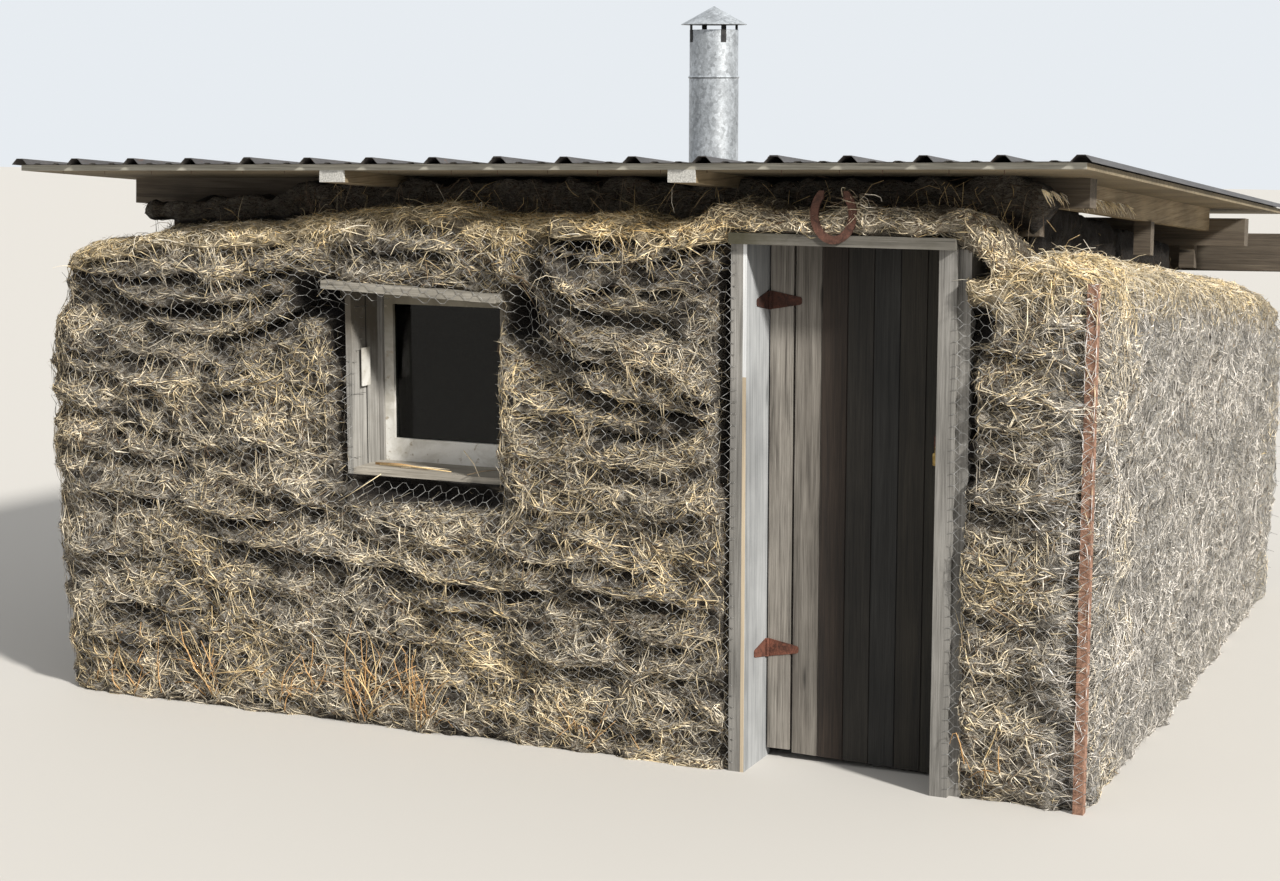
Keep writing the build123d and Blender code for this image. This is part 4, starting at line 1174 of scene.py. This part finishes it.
# A search tree over whole pieces
def pieceTree(pieces):
    points, faces = [], []
    for item in pieces:
        base = len(points)
        points += [tuple(v.co) for v in item.data.vertices]
        faces += [tuple(base + i for i in p.vertices) for p in item.data.polygons]
    return BVHTree.FromPolygons(points, faces)


netTree = pieceTree(sods + [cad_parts[name] for name in (
    "corner_stake", "door_left_jamb", "door_right_jamb", "door_side_board", "window_head_board",
    "window_sill")])


# How far out the netting stands along the wall, on a grid of places and heights
def netSurface(sFrom, sTo):
    places = np.arange(sFrom, sTo + netting["grid"], netting["grid"])
    levels = np.arange(netting["low"], netting["high"], netting["grid"])
    filled = np.full((len(places), len(levels)), netting["missed"])
    start = netting["castFrom"]
    for i, s in enumerate(places):
        x, y, nx, ny = footPoint(s)
        for j, z in enumerate(levels):
            hit = netTree.ray_cast((x + nx * start, y + ny * start, z), (-nx, -ny, 0), netting["castOver"])[3]
            if hit is not None:
                filled[i, j] = start - hit
    size = round(netting["reach"] / netting["grid"])
    soft = filled
    for axis in (1, 0):
        base = soft
        for shift in range(-size, size + 1):
            soft = np.maximum(soft, np.roll(base, shift, axis=axis) - netting["sag"] * abs(shift))
    for axis in (0, 1):
        soft = (np.roll(soft, 1, axis) + soft * 2 + np.roll(soft, -1, axis)) / 4
    return np.maximum(soft, filled)


# The wires along one side as rows of points, broken at the wall's top and at the openings
def netOver(sFrom, sTo, pitch, cell, cutouts=()):
    out = netSurface(sFrom, sTo)
    lines = []
    row = 0
    height = netting["firstRow"]
    while height < netting["lastRow"]:
        run = []
        s = sFrom
        k = 0
        while s <= sTo:
            phase = (k + (0 if row % 2 else 2)) % 4
            z = height + (cell / 2 if phase in (0, 1) else 0)
            u = s + netting["sway"] * pitch * wobble(s, z, 0, 5, 71)
            v = z + netting["sway"] * cell * wobble(s, z, 3, 6, 73)
            i = min(len(out) - 1, max(0, round((u - sFrom) / netting["grid"])))
            j = min(len(out[0]) - 1, max(0, round((v - netting["low"]) / netting["grid"])))
            x, y, nx, ny = footPoint(u)
            skip = v > wallTop(x, y) - netting["fromTop"] or out[i, j] < netting["least"]
            if skip or any(xa < x < xb and za < v < zb for xa, xb, za, zb in cutouts):
                if len(run) > 2:
                    lines.append(run)
                run = []
            else:
                reach = out[i, j] + netting["stand"]
                run.append((x + nx * reach, y + ny * reach, v))
            s += pitch / 4 * (1.15 if k % 2 else 0.85)
            k += 1
        if len(run) > 2:
            lines.append(run)
        height += cell / 2
        row += 1
    return lines


def weaveNet(name, lines):
    chunks = []
    size = netting["chunk"]
    for line in lines:
        for start in range(0, len(line) - 1, size):
            part = line[start:start + size + 1]
            if len(part) == size + 1:
                chunks.append(part)
            else:
                chunks += [line[k:k + 2] for k in range(start, len(line) - 1)]
    radii = [[netting["radius"]] * len(c) for c in chunks]
    made = layTubes(name, [np.array(c) for c in chunks], radii, None, wireMat)
    print(name, sum(len(o.data.loop_triangles) or len(o.data.polygons) * 2 for o in made), "triangles")


# Openings in the front netting, as x from and to, then z from and to: window, door, header
cutouts = [(windowLow.x + 0.035, windowHigh.x - 0.01, windowLow.z - 0.004, 1.452),
           (doorLeft + 0.030, doorRight - 0.052, -1, 1.72), (doorLeft - 0.01, 1.47, 1.66, 2.0)]
netFrom, netCorner = alongFront(-1.78), alongFront(1.72) + arc
netBack, netLeft = alongRight(1.70), alongLeft(1.62)
weaveNet("netting_front", netOver(netFrom, netCorner + 0.03, *netting["front"], cutouts))
weaveNet("netting_right", netOver(netCorner, netBack, *netting["right"]))
weaveNet("netting_left", netOver(netLeft, netFrom, *netting["hidden"]))
weaveNet("netting_back", netOver(netBack, around + netLeft, *netting["hidden"]))


# Loose stalks: bent straws at the wall tops, dry orange ones low on the front, roots under the eave

def bentStalk(root, way, length, sag, points=4, sway=0.12):
    way = np.array(way) / np.linalg.norm(way)
    side = rng.normal(0, sway, 3)
    line = []
    for k in range(points):
        share = k / (points - 1)
        spot = np.array(root) + way * length * share + side * length * math.sin(math.pi * share) * 0.5
        spot[2] -= sag * length * share ** 2
        line.append(spot)
    line = np.array(line)
    line[:, 2] = np.maximum(line[:, 2], 0.004)
    return line


# Stalks that become one piece: each is a line that tapers, with a tone drawn from its parts
class Bundle:
    def __init__(self):
        self.lines, self.radii, self.tints = [], [], []

    def put(self, line, radii, tint):
        self.lines.append(line)
        self.radii.append(radii)
        self.tints.append(tint)

    def add(self, line, thick, parts):
        radius = rng.uniform(*thick)
        radii = [radius * (1 - 0.6 * k / (len(line) - 1)) for k in range(len(line))]
        self.put(line, radii, tintFor(1, parts)[0])

    def lay(self, name):
        layTubes(name, self.lines, self.radii, np.array(self.tints), grassMat)


# Where the front's face is, less a distance: found with a ray from in front of it
face = {"from": -2.2, "over": 0.9, "missed": -1.68}
swing = {"left": 0.735, "right": 1.405, "back": -1.45, "high": 1.70}


def frontFace(x, z, out):
    hit = strawTree.ray_cast(Vector((x, face["from"], z)), Vector((0, 1, 0)), face["over"])[0]
    return (hit.y if hit is not None else face["missed"]) - out


# Whether a stalk reaches into the space that the door swings through
def crossesDoor(line):
    return any(swing["left"] < x < swing["right"] and y < swing["back"] and z < swing["high"] for x, y, z in line)


loose = {
    "density": 1500, "count": 110, "counts": {"sods_right_wall": 150, "sods_right_pier": 230},
    "bare": ("sods_left_wall", "sods_back_wall", "sods_under_window"),
    "from": 1.45, "length": (0.05, 0.14), "radius": (0.0010, 0.0019),
}
# Dry orange clumps at the foot: x, spread, count and height
dryClumps = {
    "clumps": [(-1.24, 0.07, 22, 0.36), (-0.62, 0.06, 34, 0.36), (-0.40, 0.07, 26, 0.28),
               (-1.60, 0.14, 16, 0.24), (-0.92, 0.10, 12, 0.20), (0.2, 0.2, 16, 0.20), (1.52, 0.06, 10, 0.20)],
    "radius": (0.0016, 0.0030), "parts": {"tan": 0.5, "gold": 0.3, "straw": 0.2},
}
stalks = Bundle()
rootSpots, rootNormals = [], []
for piece in sods:
    if piece.name in loose["bare"]:
        continue
    spot, normal, found = scatterOn(
        piece, loose["density"], lambda p, d: np.clip((p[:, 2] - loose["from"]) * 6, 0, 1) ** 2 + 1e-6)
    picked = rng.permutation(len(spot))[:loose["counts"].get(piece.name, loose["count"])]
    rootSpots.append(spot[picked])
    rootNormals.append(normal[picked])
for spot, normal in zip(np.concatenate(rootSpots), np.concatenate(rootNormals)):
    way = normal * rng.uniform(0.3, 0.9) + rng.normal(0, 0.7, 3)
    way[2] = abs(way[2]) * 0.35
    length = rng.uniform(*loose["length"])
    line = bentStalk(spot, way, length, rng.uniform(0.2, 0.9))
    if not crossesDoor(line):
        stalks.add(line, loose["radius"], topParts)
for place, spread, count, height in dryClumps["clumps"]:
    for k in range(count):
        x = place + rng.normal(0, spread * 0.6)
        z = abs(rng.normal(0, 0.07)) + 0.01
        root = (x, frontFace(x, z, 0.004), z)
        way = (rng.normal(0, 0.5), rng.uniform(-0.16, 0.0), 1.0)
        line = bentStalk(root, way, height * rng.uniform(0.35, 1.1), rng.uniform(0, 0.7), points=5, sway=0.15)
        for p in line[1:]:
            p[1] = min(p[1], frontFace(p[0], p[2], 0.006))
            p[1] = max(p[1], frontFace(p[0], p[2], 0.045))
        if not crossesDoor(line):
            stalks.add(line, dryClumps["radius"], dryClumps["parts"])
stalks.lay("loose_stalks")

stalks = Bundle()
eave = {"from": -0.95, "to": 1.62, "count": 360, "front": -1.475, "low": 1.72, "high": 1.85, "fall": 0.0162,
        "thickFrom": 1.15, "thickWide": 0.4, "radius": (0.0008, 0.0016)}
for k in range(eave["count"]):
    x = rng.uniform(eave["from"], eave["to"])
    near = math.exp(-((x - eave["thickFrom"]) / eave["thickWide"]) ** 2)
    y = eave["front"] + rng.uniform(-0.03, 0.05)
    root = (x, y, rng.uniform(eave["low"], eave["high"]) + eave["fall"] * x)
    way = (rng.normal(0, 0.8), rng.uniform(-0.9, -0.1), rng.uniform(-0.9, 0.2))
    line = bentStalk(root, way, rng.uniform(0.04, 0.10 + 0.05 * near), rng.uniform(0.2, 1.2), sway=0.3)
    if doorLeft - 0.05 < x < doorRight + 0.05:            # nothing hangs into the doorway
        line[:, 2] = np.maximum(line[:, 2], eave["low"] + eave["fall"] * x)
    stalks.add(line, eave["radius"], {"brown": 0.5, "mid": 0.3, "gold": 0.2 + near})

# Dead grass behind the horseshoe's right arm
shoeGrass = {"count": 46, "place": (1.115, -1.685, 1.80), "spread": (0.022, 0.008, 0.014),
             "radius": (0.0010, 0.0018), "parts": {"pale": 0.5, "white": 0.2, "mid": 0.3}}
for k in range(shoeGrass["count"]):
    root = [at + rng.normal(0, spread) for at, spread in zip(shoeGrass["place"], shoeGrass["spread"])]
    way = (rng.normal(0, 1), rng.uniform(-0.8, 0.1), rng.uniform(-0.4, 0.9))
    line = bentStalk(root, way, rng.uniform(0.03, 0.08), rng.uniform(0.1, 0.9), sway=0.3)
    stalks.add(line, shoeGrass["radius"], shoeGrass["parts"])

# Splintered tufts between deck and gable rafter
tufts = {"count": 150, "each": 14, "from": -1.55, "pitch": 0.115, "x": 1.648, "z": 1.868, "slope": 0.0855,
         "radius": (0.0012, 0.0022), "parts": {"white": 0.4, "straw": 0.4, "pale": 0.2}}
for k in range(tufts["count"]):
    y = tufts["from"] + tufts["pitch"] * (k // tufts["each"]) + rng.normal(0, 0.012)
    root = (tufts["x"], y, tufts["z"] - tufts["slope"] * (y + 1.65) - 0.012)
    way = (rng.uniform(0.5, 1.2), rng.normal(0, 0.7), rng.uniform(-1.2, -0.2))
    line = bentStalk(root, way, rng.uniform(0.02, 0.045), rng.uniform(0.1, 0.6))
    stalks.add(line, tufts["radius"], tufts["parts"])
stalks.lay("eave_stalks")

# Straws caught on the sill, splinters on it, and a thread that hangs from the eave
stalks = Bundle()
for start, end, size, tone in (
        ((-0.262, -1.60, 0.955), (-0.172, -1.665, 0.884), 0.0022, "pale"),
        ((-0.530, -1.685, 0.872), (-0.690, -1.695, 0.770), 0.0018, "straw"),
        ((-0.625, -1.555, 0.883), (-0.40, -1.59, 0.884), 0.0045, "tan"),
        ((-0.60, -1.57, 0.884), (-0.30, -1.62, 0.885), 0.0035, "gold"),
        ((-0.50, -1.60, 0.884), (-0.33, -1.575, 0.884), 0.0022, "pale"),
        ((-0.22, -1.66, 0.886), (-0.13, -1.60, 0.90), 0.0022, "mid"),
        ((0.483, -1.60, 1.835), (0.500, -1.62, 1.757), 0.0011, "white")):
    middle = (np.array(start) + np.array(end)) / 2 + rng.normal(0, 0.004, 3)
    stalks.put(np.array([start, middle, end]), [size, size, size * 0.5], palette[tone])
stalks.lay("sill_straws")

# White catch on the window's left board
catch = {"low": (-0.6485, -1.600, 1.150), "high": (-0.6425, -1.549, 1.279), "round": 0.0012}
catchLow, catchHigh = Vector(catch["low"]), Vector(catch["high"])
catchBm = bmesh.new()
bmesh.ops.create_cube(catchBm, size=1)
bmesh.ops.scale(catchBm, vec=catchHigh - catchLow, verts=catchBm.verts)
bmesh.ops.translate(catchBm, vec=(catchHigh + catchLow) / 2, verts=catchBm.verts)
bmesh.ops.bevel(catchBm, geom=catchBm.edges[:], offset=catch["round"], segments=2, profile=0.5, affect="EDGES",
                material=-1)
addObject("window_catch", meshFrom(catchBm, "window_catch"), whiteMat)

# Nail points below the deck's front edge
nails = {"count": 19, "from": -1.70, "pitch": 0.185, "y": -1.795, "top": 1.891, "length": (0.012, 0.022),
         "radius": 0.0016}
lines, radii = [], []
for k in range(nails["count"]):
    x = nails["from"] + nails["pitch"] * k + rng.uniform(-0.04, 0.04)
    top = nails["top"] + eave["fall"] * x
    length = rng.uniform(*nails["length"])
    lines.append(np.array([(x, nails["y"], top), (x + rng.normal(0, 0.002), nails["y"], top - length)]))
    radii.append([nails["radius"], nails["radius"] * 0.4])
layTubes("deck_nails", lines, radii, None, rustMat)
print("stalks and nails ready")


# CAD nodes that keep their own mesh

for material, names in (
        (greyAcross, ["window_head_board"]), (sillLitWood, ["window_sill"]), (windowWood, ["window_jambs"]),
        (greyUpright, ["window_stops", "door_left_jamb", "door_right_jamb", "door_side_board"]),
        (whiteMat, ["sash_stiles", "sash_rails"]), (glassMat, ["window_glass"]),
        (headerWood, ["door_header"]), (paleBoard, ["door_reveal_board"]),
        (doorWood, ["door_leaf_boards", "door_ledges"]), (brassMat, ["door_padlock"]),
        (rustMat, ["horseshoe", "door_hasp"]), (hingeRust, ["hinge_leaf_flaps", "hinge_jamb_flaps"]),
        (stakeRust, ["corner_stake"]), (roofMat, [f"roof_sheet_{i}" for i in range(1, 5)]),
        (deckWood, ["deck_left", "deck_right"]), (rafterWood, ["rafters"]),
        (roofTimber, ["front_plate", "rear_purlin", "back_beam", "cripple_posts", "rear_packers"]),
        (zincMat, ["chimney_lower_pipe", "chimney_upper_pipe", "chimney_collar", "chimney_cap"]),
        (sootMat, ["chimney_cap_straps"])):
    for name in names:
        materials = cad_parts[name].data.materials
        materials.clear()
        materials.append(material)
print("frame nodes dressed")


# Floor

floorBm = bmesh.new()
bmesh.ops.create_grid(floorBm, x_segments=1, y_segments=1, size=view["floorHalf"])
floor = addObject("floor", meshFrom(floorBm, "floor"), floorFinish.material, body=None)
